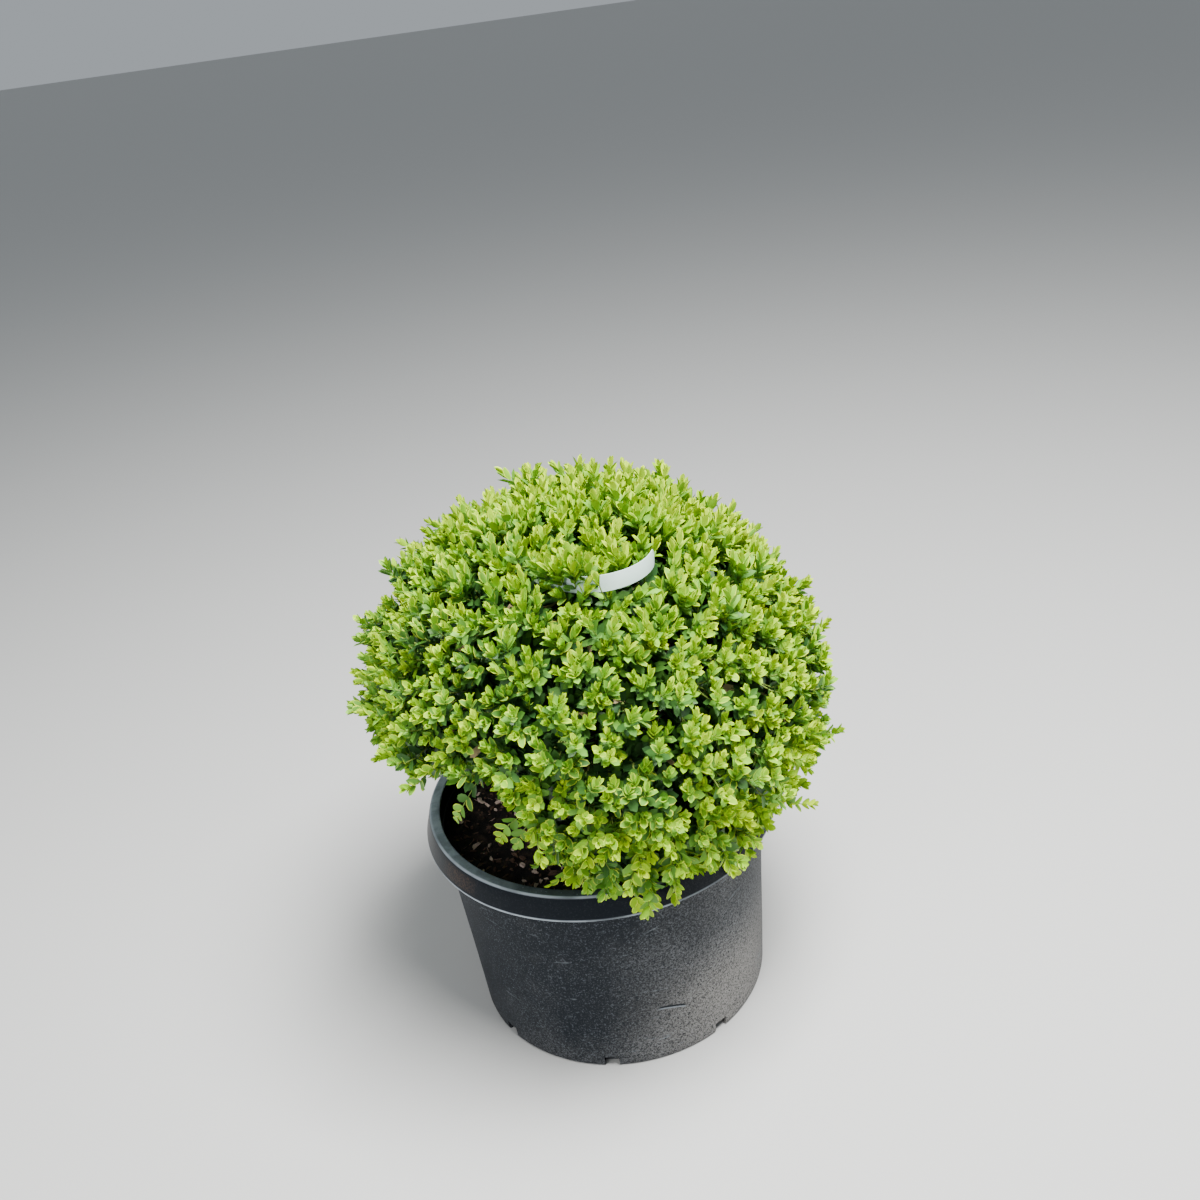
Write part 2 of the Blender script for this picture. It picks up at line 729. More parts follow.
def unit(vectors):
    """Vectors, or one vector, of length 1."""
    vectors = np.asarray(vectors, float)
    return vectors / np.maximum(np.linalg.norm(vectors, axis=-1, keepdims=True), 1e-12)


def bezier(first, middle, last, t):
    """Points at t on quadratic curves."""
    return (1 - t) ** 2 * first + 2 * t * (1 - t) * middle + t ** 2 * last


def bezier_tangent(first, middle, last, t):
    """The way that quadratic curves run at t."""
    return unit((1 - t) * (middle - first) + t * (last - middle))


def ramp(values, start, end):
    """0 before the start, 1 past the end and straight in between. The end may be the smaller."""
    return np.clip((values - start) / (end - start), 0, 1)


def square_to(axes, reference=None):
    """Two unit vectors square to each axis and to each other, the first also square to the reference."""
    if reference is None:
        reference = np.where(np.abs(axes[..., 2:3]) < 0.9, UP, np.array([1.0, 0.0, 0.0]))
    side = unit(np.cross(reference, axes))
    return side, unit(np.cross(side, axes))


# Crown shape

CROWN_TURN = np.array([
    [math.cos(CROWN_LEAN), 0, math.sin(CROWN_LEAN)],
    [0, 1, 0],
    [-math.sin(CROWN_LEAN), 0, math.cos(CROWN_LEAN)],
])


def to_crown(points):
    """Points in the crown's own frame, from its centre along its leaning axis."""
    return (points - CROWN_CENTRE) @ CROWN_TURN


def from_crown(points):
    return points @ CROWN_TURN.T + CROWN_CENTRE


def direction(azimuth, polar):
    """Unit vectors from azimuths and angles down from +Z, in degrees."""
    azimuth = np.radians(azimuth)
    polar = np.radians(polar)
    x = np.sin(polar) * np.cos(azimuth)
    y = np.sin(polar) * np.sin(azimuth)
    return np.stack([x, y, np.cos(polar)], axis=-1)


def polar_of(rays):
    """The angles of unit vectors down from +Z, in degrees."""
    return np.degrees(np.arccos(np.clip(rays[..., 2], -1, 1)))


def hem_drop(azimuth):
    """How deep the crown hangs under its centre at each azimuth."""
    drop = np.full(np.shape(azimuth), CROWN_DROP)
    for middle, half_width, swell in HEM_SWELLS:
        away = np.abs((azimuth - middle + 180) % 360 - 180)
        drop = drop + swell * (0.5 + 0.5 * np.cos(np.pi * np.minimum(1, away / half_width)))
    return drop


def crown_reach(rays):
    """How far the crown reaches from its centre along unit vectors in its own leaning frame."""
    across = np.hypot(rays[..., 0], rays[..., 1])
    upper = rays[..., 2] >= 0
    power = np.where(upper, CROWN_TOP_POWER, CROWN_HEM_POWER)
    azimuth = np.degrees(np.arctan2(rays[..., 1], rays[..., 0]))
    height = np.where(upper, CROWN_RISE, hem_drop(azimuth))
    return ((across / CROWN_RADIUS) ** power + (np.abs(rays[..., 2]) / height) ** power) ** (-1 / power)


def at_depth(rays, depth):
    """Points in the row frame at a depth in from the crown's outline."""
    return from_crown(rays * (crown_reach(rays) - depth)[..., None])


def at_fill(ray, fill):
    """The point in the row frame at a share of the crown's reach along a ray."""
    return from_crown(ray * crown_reach(ray) * fill)


MASS_RAYS = np.array([direction(azimuth, polar) for _, azimuth, polar, _ in MASSES])
MASS_CENTRES = np.array([at_fill(ray, MASS_CENTRE_FILL) for ray in MASS_RAYS])


def mass_of(points):
    """The index of the mass whose share of the crown holds each point."""
    return np.linalg.norm(points[:, None] - MASS_CENTRES[None], axis=2).argmin(axis=1)


def clear_of_pot(points, margin=0.0025):
    """Whether points keep clear of the lip, the band and the growing mix."""
    across = np.hypot(points[..., 0], points[..., 1])
    mouth = RIM_RADIUS - LIP_WIDTH - margin
    above = points[..., 2] > POT_BOX[1].z + margin
    outside = across > POT_BOX[1].x + margin
    inside = (across < mouth) & (points[..., 2] > STEM_BOX[0].z + LEAST_OVER_MIX)
    return above | outside | inside


def clear_of_label(points, margin=0.0016):
    """Whether points keep clear of the label, and of the sight of its right half from the front."""
    local = points - LABEL_CENTRE
    ring = np.hypot(local[..., 0], local[..., 1]) - LABEL_RADIUS
    azimuth = np.degrees(np.arctan2(local[..., 1], local[..., 0]))
    beside = (azimuth < LABEL_ARC[0] - LABEL_END_GAP) | (azimuth > LABEL_ARC[1] + LABEL_END_GAP)
    over = np.abs(local[..., 2]) > LABEL_HEIGHT / 2 + margin
    clear = beside | over | (np.abs(ring) > margin)
    in_sight = (azimuth > LABEL_IN_SIGHT[0]) & (azimuth < LABEL_IN_SIGHT[1])
    near = (ring > 0) & (ring < LABEL_SIGHT_DEPTH)
    in_line = np.abs(local[..., 2] - LABEL_SIGHT_RISE * ring) < LABEL_SIGHT_HALF
    return clear & ~(in_sight & near & in_line)


# Limbs

def stem_curve():
    """The three points of the stem's curve."""
    return STEM_FOOT, (STEM_FOOT + STEM_FORK) / 2 + STEM_BEND, STEM_FORK


def bough_curve(index):
    """The three points of a mass's bough, from inside the stem to the inner side of the mass."""
    name, _, _, height = MASSES[index]
    end = at_fill(MASS_RAYS[index], MASS_INNER_FILL)
    share = (height - STEM_FOOT[2]) / (STEM_FORK[2] - STEM_FOOT[2])
    start = STEM_FOOT + (STEM_FORK - STEM_FOOT) * share
    if name == "top":
        return start, (start + end) / 2 + BOUGH_SWAY, end
    heading = unit((end - start) * (1, 1, 0))
    return start, start + heading * BOUGH_SPREAD + UP * BOUGH_LIFT, end


def bark_height(x, y, z, seed):
    """Long furrows and small plates, from -1 to 1."""
    across, along = FURROW_RATES
    furrows = noise.noise(Vector((x * across + seed, y * across, z * along)))
    across, along = PLATE_RATES
    plates = noise.noise(Vector((x * across, y * across + seed, z * along)))
    return 0.7 * furrows + 0.3 * plates


def limb_mesh(curve, radius_at, relief, sides, steps, seed, level=False):
    """A limb round a quadratic curve with its bark's relief, and level rings if it's told so."""
    first, middle, last = curve
    rings = []
    for t in np.linspace(0, 1, steps):
        centre = bezier(first, middle, last, t)
        tangent = UP if level else bezier_tangent(first, middle, last, t)
        side, over = square_to(tangent)
        ring = []
        for angle in np.linspace(0, 2 * np.pi, sides, endpoint=False):
            out = side * math.cos(angle) + over * math.sin(angle)
            radius = radius_at(t, angle)
            place = centre + out * radius
            ring.append(place + out * relief * bark_height(*place, seed))
        rings.append(ring)
    return skin(rings)


# Growth of the crown

def wobble(random, shape, reach):
    """Random numbers of an even spread, half the reach to each side of 0."""
    return reach * (random.random(shape) - 0.5)


def lattice(count, looseness, random):
    """Rays on an even spiral round the crown, each loosened, without those in its open underside."""
    order = np.arange(count)
    spacing = np.degrees(math.sqrt(4 * math.pi / count))
    polar = np.degrees(np.arccos(1 - (2 * order + 1) / count))
    polar = polar + wobble(random, count, looseness * spacing)
    turn = wobble(random, count, looseness * spacing)
    azimuth = np.degrees(order * GOLDEN_ANGLE) + turn / np.maximum(np.sin(np.radians(polar)), 0.3)
    return direction(azimuth, polar)[(polar > 0) & (polar < OPEN_POLAR)]


def nearest_in_mass(points, masses, parents, parent_masses):
    """For each point, the nearest parent of its own mass."""
    apart = np.linalg.norm(points[:, None] - parents[None], axis=2)
    apart[masses[:, None] != parent_masses[None]] = 1e9
    return apart.argmin(axis=1)


def heading_of(rays):
    """The way a shoot grows: outwards and up, or outwards and down under the crown's widest part."""
    polar = polar_of(rays)
    lift = np.interp(polar, LIFT_POLARS, LIFTS)
    upper = np.interp(polar, FRONT_LIFT_POLARS, (1, 0))
    lift = lift * (1 + FRONT_LIFT * np.clip(-rays[:, 1], 0, 1) * upper)
    left_drop, right_drop = SIDE_DROPS
    to_left = np.clip(-rays[:, 0], 0, 1) ** 2 * left_drop
    to_right = np.clip(rays[:, 0], 0, 1) ** 2 * right_drop
    lift = lift * (1 - to_left - to_right)
    return unit(rays @ CROWN_TURN.T + lift[:, None] * UP)


def placed_shoots():
    """Tips and headings of the sprigs that stand out of the outline, and then of those under the hem."""
    hanging = SPRIGS[:, 0]
    tips = np.concatenate([STRAY_TIPS, hanging])
    headings = np.concatenate([heading_of(unit(to_crown(STRAY_TIPS))), unit(hanging - SPRIGS[:, 1])])
    return tips - headings * SPRIG_TIP_LEAF, headings


def lumps(points, size):
    """A slow seeded wave over the crown, from about -1 to 1."""
    return np.array([noise.noise(Vector(point) / size) for point in points])


class Growth:
    """Branches, twigs and leafy shoots, each set grown on from the nearest of the one before it."""

    def __init__(self, settings):
        random = np.random.default_rng(settings.seed)
        self.settings = settings
        branch_rays = lattice(settings.branch_count, BRANCH_LOOSENESS, random)
        branches = at_depth(branch_rays, settings.branch_depth)
        self.branches = branches[clear_of_pot(branches, BRANCH_GAP)]
        self.branch_mass = mass_of(self.branches)
        twig_rays = lattice(settings.twig_count, TWIG_LOOSENESS, random)
        depth = settings.twig_depth + wobble(random, len(twig_rays), TWIG_UNEVENNESS)
        twigs = at_depth(twig_rays, depth)
        self.twigs = twigs[clear_of_pot(twigs, TWIG_GAP)]
        self.twig_mass = mass_of(self.twigs)
        self.twig_parent = nearest_in_mass(self.twigs, self.twig_mass, self.branches, self.branch_mass)
        self.grow_shoots(random)
        self.shape_shoots()

    def grow_shoots(self, random):
        """The shoots of each twig as one spray under the clipped outline, and then the placed sprigs."""
        settings = self.settings
        rays = lattice(settings.shoot_count, SHOOT_LOOSENESS, random)
        surface = at_depth(rays, 0)
        heads = at_depth(unit(to_crown(self.twigs)), 0)
        parent = nearest_in_mass(surface, mass_of(surface), heads, self.twig_mass)
        off_axis = surface - heads[parent]
        from_axis = np.minimum(np.linalg.norm(off_axis, axis=1) / SPRAY_RADIUS, SPRAY_LIMIT)
        uneven = wobble(random, len(rays), settings.unevenness)
        reach = np.maximum(random.random(len(rays)) - PLAIN_SHARE, 0)
        proud = settings.proud * reach / (1 - PLAIN_SHARE)
        lift = wobble(random, len(heads), settings.unevenness)
        swells = SWELL_DEPTH * np.abs(lumps(surface, SWELL_WIDTH))
        waves = swells + LUMP_DEPTH * lumps(surface + LUMP_OFFSET, LUMP_WIDTH)
        depth = settings.shoot_depth + uneven + waves + lift[parent] + SPRAY_SINK * from_axis ** 2 - proud
        under = ramp(polar_of(rays), *BARE_POLARS)
        leafy = lumps(surface + BARE_OFFSET, BARE_WIDTH) <= BARE_RARITY - BARE_UNDER * under
        rays = unit(to_crown(surface - off_axis * SPRAY_CLOSING))
        tips = at_depth(rays, depth)
        sway = wobble(random, (len(heads), 3), SPRAY_SWAY)
        headings = heading_of(rays) + off_axis * (SPRAY_LEAN / SPRAY_RADIUS) + sway[parent]
        luck = random.random(len(heads))
        headings = unit(headings[leafy]) + wobble(random, (leafy.sum(), 3), SHOOT_SWAY)
        placed_tips, placed_headings = placed_shoots()
        placed_parent = nearest_in_mass(placed_tips, mass_of(placed_tips), heads, self.twig_mass)
        tips = np.concatenate([tips[leafy], placed_tips])
        headings = unit(np.concatenate([headings, placed_headings]))
        rays = np.concatenate([rays[leafy], unit(to_crown(placed_tips))])
        parent = np.concatenate([parent[leafy], placed_parent])
        sunk = np.concatenate([from_axis[leafy], np.zeros(len(placed_tips))])
        keep = clear_of_pot(tips, SHOOT_GAP) & clear_of_label(tips, SHOOT_LABEL_GAP)
        keep[-len(placed_tips):] = True
        self.tips = tips[keep]
        self.headings = headings[keep]
        self.rays = rays[keep]
        self.sunk = sunk[keep]
        self.spray_luck = luck[parent[keep]]
        self.roots = self.twigs[parent[keep]]
        self.shoot_mass = self.twig_mass[parent[keep]]
        self.turns = random.random(len(self.tips)) * np.pi
        self.luck = random.random(len(self.tips))

    def shape_shoots(self):
        """Each shoot's curve and the form of its leaves, by its place in the crown."""
        self.lengths = np.linalg.norm(self.tips - self.roots, axis=1)
        self.bends = self.tips - self.headings * (SHOOT_BEND * self.lengths)[:, None]
        polar = polar_of(self.rays)
        plain_from, hem_from, top_from = FORM_POLARS
        front = np.clip(-self.rays[:, 1] * FRONT_FACING, 0, 1)
        low = ramp(polar, plain_from, hem_from) * (HEM_ELSEWHERE + (1 - HEM_ELSEWHERE) * front)
        high = ramp(polar, plain_from, top_from)
        self.leaf_tilt = HEM_TILT * low + TOP_TILT * high
        self.stretch = 1 + HEM_STRETCH * low + TOP_STRETCH * high
        self.breadth = 1 + HEM_BREADTH * low + TOP_BREADTH * high
        by_luck = LEAST_SPRAY_SIZE + SPRAY_SIZE_LUCK * self.spray_luck
        self.size = np.interp(polar, SIZE_POLARS, SIZES) * by_luck
        order = np.arange(len(self.tips))
        placed = order >= len(self.tips) - len(STRAY_TIPS) - len(SPRIGS)
        self.overreach = np.where(placed, SPRIG_OVERREACH, LEAF_OVERREACH)
        self.flat = order >= len(self.tips) - len(SPRIGS)
        self.stretch[self.flat] = SPRIG_STRETCH
        self.breadth[self.flat] = SPRIG_BREADTH
        self.deeper = np.zeros(len(self.tips))
        self.deeper[self.flat] = SPRIG_SHADES


def mass_path(index):
    """The curve of a mass's own stem, from its bough's tip towards the middle of the mass."""
    _, middle, last = bough_curve(index)
    inward = unit(last - middle)
    return last, last + inward * MASS_STEM_BEND, last + (MASS_CENTRES[index] - last) * MASS_STEM_REACH


def tapered(curve, steps, start_girth, end_girth):
    """Points along a quadratic curve, and the girth of the wood at each."""
    points = bezier(*curve, np.linspace(0, 1, steps)[:, None])
    return points, np.linspace(start_girth, end_girth, steps)


def wood_lines(growth, index):
    """The stem, branches and twigs of a mass."""
    mass_stem = mass_path(index)
    lines = [tapered(mass_stem, *MASS_STEM_WOOD)]
    root = mass_stem[-1]
    for place in growth.branches[growth.branch_mass == index]:
        bend = (root + place) / 2 + UP * BRANCH_RISE
        lines.append(tapered((root, bend, place), *BRANCH_WOOD))
    for which in np.flatnonzero(growth.twig_mass == index):
        root = growth.branches[growth.twig_parent[which]]
        place = growth.twigs[which]
        bend = (root + place) / 2 + (root - MASS_CENTRES[index]) * TWIG_SPREAD
        lines.append(tapered((root, bend, place), *TWIG_WOOD))
    return lines


def shoot_lines(growth, index):
    """The green stems of a mass's shoots."""
    lines = []
    for which in np.flatnonzero(growth.shoot_mass == index):
        curve = (growth.roots[which], growth.bends[which], growth.tips[which])
        lines.append(tapered(curve, *SHOOT_WOOD))
    return lines


def line_mesh(lines):
    """Loose lines as a mesh, with the girth at each point kept for the twig tree."""
    points, edges = [], []
    for path, _ in lines:
        start = len(points)
        points.extend(tuple(point) for point in path)
        edges.extend((start + step, start + step + 1) for step in range(len(path) - 1))
    mesh = bpy.data.meshes.new("lines")
    mesh.from_pydata(points, edges, [])
    girth = mesh.attributes.new("girth", "FLOAT", "POINT")
    girth.data.foreach_set("value", np.concatenate([girths for _, girths in lines]).astype(np.float32))
    return mesh


def twig_tree():
    """A tree that gives lines a skin of their own girth, closed at its ends."""
    sockets = {"Sides": "NodeSocketInt", "Material": "NodeSocketMaterial"}
    nodes, entry = new_tree("Twig skin", sockets)
    curve = nodes.add("GeometryNodeMeshToCurve", inputs={"Mesh": entry["Geometry"]})
    girth = nodes.add("GeometryNodeInputNamedAttribute", {"data_type": "FLOAT"}, {"Name": "girth"})
    ring = nodes.add("GeometryNodeCurvePrimitiveCircle", inputs={"Resolution": entry["Sides"], "Radius": 1.0})
    tubes = nodes.add("GeometryNodeCurveToMesh", inputs={
        "Curve": curve, "Profile Curve": ring, "Scale": girth, "Fill Caps": True})
    smooth = nodes.add("GeometryNodeSetShadeSmooth", inputs={"Geometry": tubes})
    real = nodes.add("GeometryNodeRealizeInstances", inputs={"Geometry": smooth})
    painted = nodes.add("GeometryNodeSetMaterial", inputs={"Geometry": real, "Material": entry["Material"]})
    return close_tree(nodes, painted)


# Leaves

def leaf_form(name, stations, cup, bend, rimmed):
    """A unit leaf along +X with its hollow side up: a closed lens, folded at its midrib.

    The stations are places along it with its half width there, and a rimmed form has a pale rim.
    """
    work = bmesh.new()
    root = work.verts.new((0, 0, 0))
    tip = work.verts.new((1, 0, -bend))
    rib = [work.verts.new((s, 0, -bend * s * s)) for s, _ in stations]
    keel = work.verts.new((0.5, 0, -bend * 0.25 - LEAF_THICKNESS))
    rim_faces = []
    for side in (-1, 1):
        edge = [work.verts.new((s, side * w, cup * w * 2 - bend * s * s)) for s, w in stations]
        inner = edge
        if rimmed:
            rise = cup * 2 * RIM_SHARE ** 1.5
            inner = [work.verts.new((s, side * w * RIM_SHARE, rise * w - bend * s * s)) for s, w in stations]
            rim_faces.extend(strip_faces(work, root, edge, inner, tip))
        strip_faces(work, root, inner, rib, tip)
        outline = [root, *edge, tip]
        for before, after in zip(outline, outline[1:]):
            work.faces.new((before, after, keel))
    bmesh.ops.recalc_face_normals(work, faces=work.faces)
    work.faces.index_update()
    is_rim = {face.index for face in rim_faces}
    mesh = bpy.data.meshes.new(name)
    work.to_mesh(mesh)
    work.free()
    rim = mesh.attributes.new("rim", "INT", "FACE")
    rim.data.foreach_set("value", [int(face in is_rim) for face in range(len(mesh.polygons))])
    mesh.shade_smooth()
    mesh.set_sharp_from_angle(angle=math.radians(55))
    return mesh


def strip_faces(work, root, outer, inner, tip):
    """The faces between two lines of points that meet at the leaf's root and tip."""
    faces = [work.faces.new((root, outer[0], inner[0]))]
    for step in range(len(outer) - 1):
        faces.append(work.faces.new((outer[step], outer[step + 1], inner[step + 1], inner[step])))
    faces.append(work.faces.new((outer[-1], tip, inner[-1])))
    return faces


FULL_STATIONS = ((0.15, 0.31), (0.47, 0.50), (0.81, 0.37))
PLAIN_STATIONS = ((0.24, 0.43), (0.74, 0.44))
# Stations, cup, bend and whether it has a rim, in the order that the forms are picked by
LEAF_FORMS = (
    (FULL_STATIONS, 0.085, 0.05, True),
    (FULL_STATIONS, 0.12, -0.06, True),
    (FULL_STATIONS, 0.05, 0.12, True),
    (PLAIN_STATIONS, 0.08, 0.08, False),
)
PLAIN_FORM = 3


def leaf_tree():
    """A tree that puts a leaf on each point, turned to its axis and face, and paints it by its shade."""
    sockets = {"Leaf forms": "NodeSocketCollection", "Leaf length": "NodeSocketFloat",
               "Leaf width": "NodeSocketFloat"}
    nodes, entry = new_tree("Leaves", sockets)

    def kept(name, kind):
        return nodes.add("GeometryNodeInputNamedAttribute", {"data_type": kind}, {"Name": name})

    turn = nodes.add("FunctionNodeAxesToRotation", {"primary_axis": "X", "secondary_axis": "Z"}, {
        "Primary Axis": kept("axis", "FLOAT_VECTOR"), "Secondary Axis": kept("face", "FLOAT_VECTOR")})
    size = kept("size", "FLOAT")
    length = entry["Leaf length"] * size
    scale = nodes.combined(length, entry["Leaf width"] * size * kept("breadth", "FLOAT"), length)
    forms = nodes.add("GeometryNodeCollectionInfo", inputs={
        "Collection": entry["Leaf forms"], "Separate Children": True, "Reset Children": True})
    leaves = nodes.add("GeometryNodeInstanceOnPoints", inputs={
        "Points": entry["Geometry"], "Instance": forms, "Pick Instance": True,
        "Instance Index": kept("form", "INT"), "Rotation": turn, "Scale": scale})
    return nodes, entry, leaves, kept


def paint_leaves(nodes, leaves, kept, blades, rims):
    """Realizes the leaves and gives each its shade's material, and its rim the paler one."""
    painted = nodes.add("GeometryNodeRealizeInstances", inputs={"Geometry": leaves})
    code = kept("shade", "INT") * 2 + kept("rim", "INT")
    for shade, pair in enumerate(zip(blades, rims)):
        for part, material in enumerate(pair):
            chosen = nodes.add("FunctionNodeCompare", {"data_type": "FLOAT", "operation": "EQUAL"}, {
                "A": code, "B": float(shade * 2 + part), "Epsilon": 0.25})
            painted = nodes.add("GeometryNodeSetMaterial", inputs={
                "Geometry": painted, "Selection": chosen, "Material": material})
    return close_tree(nodes, painted)


def leaf_materials(settings):
    """The blade and rim materials of each shade, from the brightest to the oldest, and the straw one."""
    young, grown, old = (np.array(c) for c in (settings.new_growth, settings.grown, settings.old))
    margin = np.array(settings.margin)
    blades, rims = [], []
    for shade in range(SHADE_COUNT):
        way = shade / (SHADE_COUNT - 1)
        if way < 0.5:
            blade = young * (grown / young) ** (way * 2)
        else:
            blade = grown * (old / grown) ** (way * 2 - 1)
        paleness = RIM_PALENESS + RIM_MIDDLE * way * (1 - way) - RIM_FADING * way
        pale = blade + (margin - blade) * paleness
        gloss = YOUNG_GLOSS + (OLD_GLOSS - YOUNG_GLOSS) * way
        blades.append(leaf_material(f"leaf_{shade}", blade, 0.46, gloss))
        rims.append(leaf_material(f"leaf_rim_{shade}", pale, 0.50, gloss))
    blades.append(leaf_material("leaf_straw", np.array(settings.straw), 0.7, 0.2))
    rims.append(leaf_material("leaf_rim_straw", np.array(settings.straw) * 1.2, 0.7, 0.2))
    return blades, rims


def leaf_material(name, blade, roughness, gloss):
    values = {"Base Color": rgba(np.clip(blade, 0, 1)), "Roughness": roughness, "Specular IOR Level": gloss}
    return new_material(name, values)


def leaves_fit(roots, axes, faces, lengths, width, overreach):
    """Whether leaves keep within the crown's reach and clear of the pot and the label."""
    sides = np.cross(faces, axes) * width * 0.5
    along = axes * lengths[:, None]
    marks = np.stack([
        roots + along * 0.3,
        roots + along * 0.6 + sides,
        roots + along * 0.6 - sides,
        roots + along * 0.8,
        roots + along,
    ])
    from_centre = to_crown(marks)
    beyond = np.linalg.norm(from_centre, axis=-1) - crown_reach(unit(from_centre))
    fits = clear_of_pot(marks) & clear_of_label(marks) & (beyond < overreach)
    return fits.all(axis=0)


LEAF_PARTS = ("root", "axis", "face", "size", "breadth", "form", "shade", "mass")


class LeafSet:
    """The leaves of the whole crown as arrays: place, axis, face, size, breadth, form, shade and mass."""

    def __init__(self, settings):
        self.settings = settings
        self.random = np.random.default_rng(settings.seed + 1)
        self.parts = {name: [] for name in LEAF_PARTS}

    def joined(self):
        return {name: np.concatenate(values) for name, values in self.parts.items()}

    def add(self, nodes, tangents, turns, tilt, overreach, flat, outwards, **traits):
        """One leaf at each node, leaning out of its shoot at a tilt, or closed up where it doesn't fit.

        A flat shoot's leaves spread in two rows across the way outwards.
        """
        count = len(nodes)
        side, over = square_to(tangents)
        spread, inwards = square_to(tangents, outwards)
        side = np.where(flat[:, None], spread, side)
        over = np.where(flat[:, None], inwards, over)
        turns = turns + wobble(self.random, count, LEAF_TURN_LUCK)
        outward = side * np.cos(turns)[:, None] + over * np.sin(turns)[:, None]
        traits["size"] = traits["size"] * (1 + wobble(self.random, count, LEAF_SIZE_LUCK))
        traits["breadth"] = traits["breadth"] * (1 + wobble(self.random, count, LEAF_BREADTH_LUCK))
        tilts = tilt + wobble(self.random, count, LEAF_TILT_LUCK)
        lengths = traits["size"] * self.settings.leaf_length
        waiting = np.ones(count, bool)
        for ease in LEAF_EASES:
            lean = np.radians(np.maximum(tilts - ease, LEAST_TILT))[:, None]
            axis = unit(tangents * np.cos(lean) + outward * np.sin(lean) + UP * LEAF_RISE)
            face = tangents * np.sin(lean) - outward * np.cos(lean) + UP * FACE_RISE
            flat_face = tangents * FLAT_FACE_FORWARD - over + UP * FLAT_FACE_RISE
            face = np.where(flat[:, None], flat_face, face)
            face = unit(face - axis * (face * axis).sum(axis=1, keepdims=True))
            fits = leaves_fit(nodes, axis, face, lengths, self.settings.leaf_width, overreach)
            placed = waiting & fits
            for name, values in {"root": nodes, "axis": axis, "face": face, **traits}.items():
                self.parts[name].append(values[placed])
            waiting &= ~fits


def shoot_shades(growth):
    """Each shoot's shade: bright on top and to the right, deep low down and at its spray's rim."""
    low = ramp(polar_of(growth.rays), *SHADE_LOW_POLARS) ** SHADE_LOW_POWER
    to_right = growth.rays[:, 0] * SHADE_LEFT
    waves = lumps(growth.tips + SHADE_OFFSET, SHADE_WAVE_WIDTH)
    luck = SPRAY_SHADE_LUCK * (growth.spray_luck - 0.5) + SHOOT_SHADE_LUCK * (growth.luck - 0.5)
    shades = SHADE_LOW * low - to_right + SHADE_WAVES * waves + luck * (1 + LOW_SHADE_LUCK * low)
    return shades + SHADE_SUNK * growth.sunk ** 2 + SHADE_START + growth.deeper


def crown_leaves(growth):
    """The opposite pairs of leaves along every shoot, and the old leaves inside."""
    leaves = LeafSet(growth.settings)
    random = leaves.random
    count = len(growth.tips)
    shades = shoot_shades(growth)
    outwards = growth.rays @ CROWN_TURN.T
    for pair, back in enumerate(PAIR_BACK):
        t = np.clip(1 - back * growth.stretch / (growth.lengths * CURVE_LENGTH), 0, 1)[:, None]
        nodes = bezier(growth.roots, growth.bends, growth.tips, t)
        tangents = bezier_tangent(growth.roots, growth.bends, growth.tips, t)
        tilt = PAIR_TILT[pair] + growth.leaf_tilt
        for half in (0, 1):
            turns = np.where(growth.flat, 0, growth.turns + pair * np.pi / 2) + half * np.pi
            shade = np.round(shades + PAIR_AGE[pair] + wobble(random, count, LEAF_SHADE_LUCK))
            shade = np.clip(shade, 0, SHADE_COUNT - 1).astype(int)
            form = np.full(count, PLAIN_FORM)
            if pair < FULL_PAIRS:
                form = random.integers(0, PLAIN_FORM, count)
            leaves.add(nodes, tangents, turns, tilt, growth.overreach, growth.flat, outwards,
                       size=PAIR_SIZE[pair] * growth.size, breadth=growth.breadth, form=form, shade=shade,
                       mass=growth.shoot_mass)
    branches = growth.branches
    add_inner_leaves(leaves, branches[growth.twig_parent], growth.twigs, growth.twig_mass, *TWIG_LEAVES)
    roots = MASS_CENTRES[growth.branch_mass]
    add_inner_leaves(leaves, roots, branches, growth.branch_mass, *BRANCH_LEAVES)
    return leaves.joined()


def add_inner_leaves(leaves, roots, ends, mass, pairs, size):
    """Old leaves along the twigs or the branches, which close the crown's inside."""
    random = leaves.random
    count = len(roots)
    way = ends - roots
    tangents = unit(way + UP * INNER_RISE)
    turns = random.random(count) * np.pi
    overreach = np.zeros(count)
    flat = np.zeros(count, bool)
    for pair, share in enumerate(np.linspace(INNER_START, 1.0, pairs)):
        for half in (0, 1):
            angles = turns + pair * np.pi / 2 + half * np.pi
            shade = SHADE_COUNT - 1 - random.integers(0, INNER_SHADES, count)
            shade[random.random(count) < STRAW_SHARE] = STRAW_SHADE
            leaves.add(roots + way * share, tangents, angles, INNER_TILT, overreach, flat, UP,
                       size=np.full(count, size), breadth=np.full(count, INNER_BREADTH),
                       form=np.full(count, PLAIN_FORM), shade=shade, mass=mass)


def leaf_points(leaves, index):
    """The leaves of one mass as points with their attributes, for the leaf tree."""
    chosen = leaves["mass"] == index
    mesh = bpy.data.meshes.new("leaf points")
    mesh.from_pydata([tuple(point) for point in leaves["root"][chosen]], [], [])
    for name in ("axis", "face"):
        attribute = mesh.attributes.new(name, "FLOAT_VECTOR", "POINT")
        attribute.data.foreach_set("vector", leaves[name][chosen].astype(np.float32).ravel())
    for name in ("size", "breadth"):
        attribute = mesh.attributes.new(name, "FLOAT", "POINT")
        attribute.data.foreach_set("value", leaves[name][chosen].astype(np.float32))
    for name in ("form", "shade"):
        attribute = mesh.attributes.new(name, "INT", "POINT")
        attribute.data.foreach_set("value", leaves[name][chosen].astype(np.int32))
    return mesh


# Operators

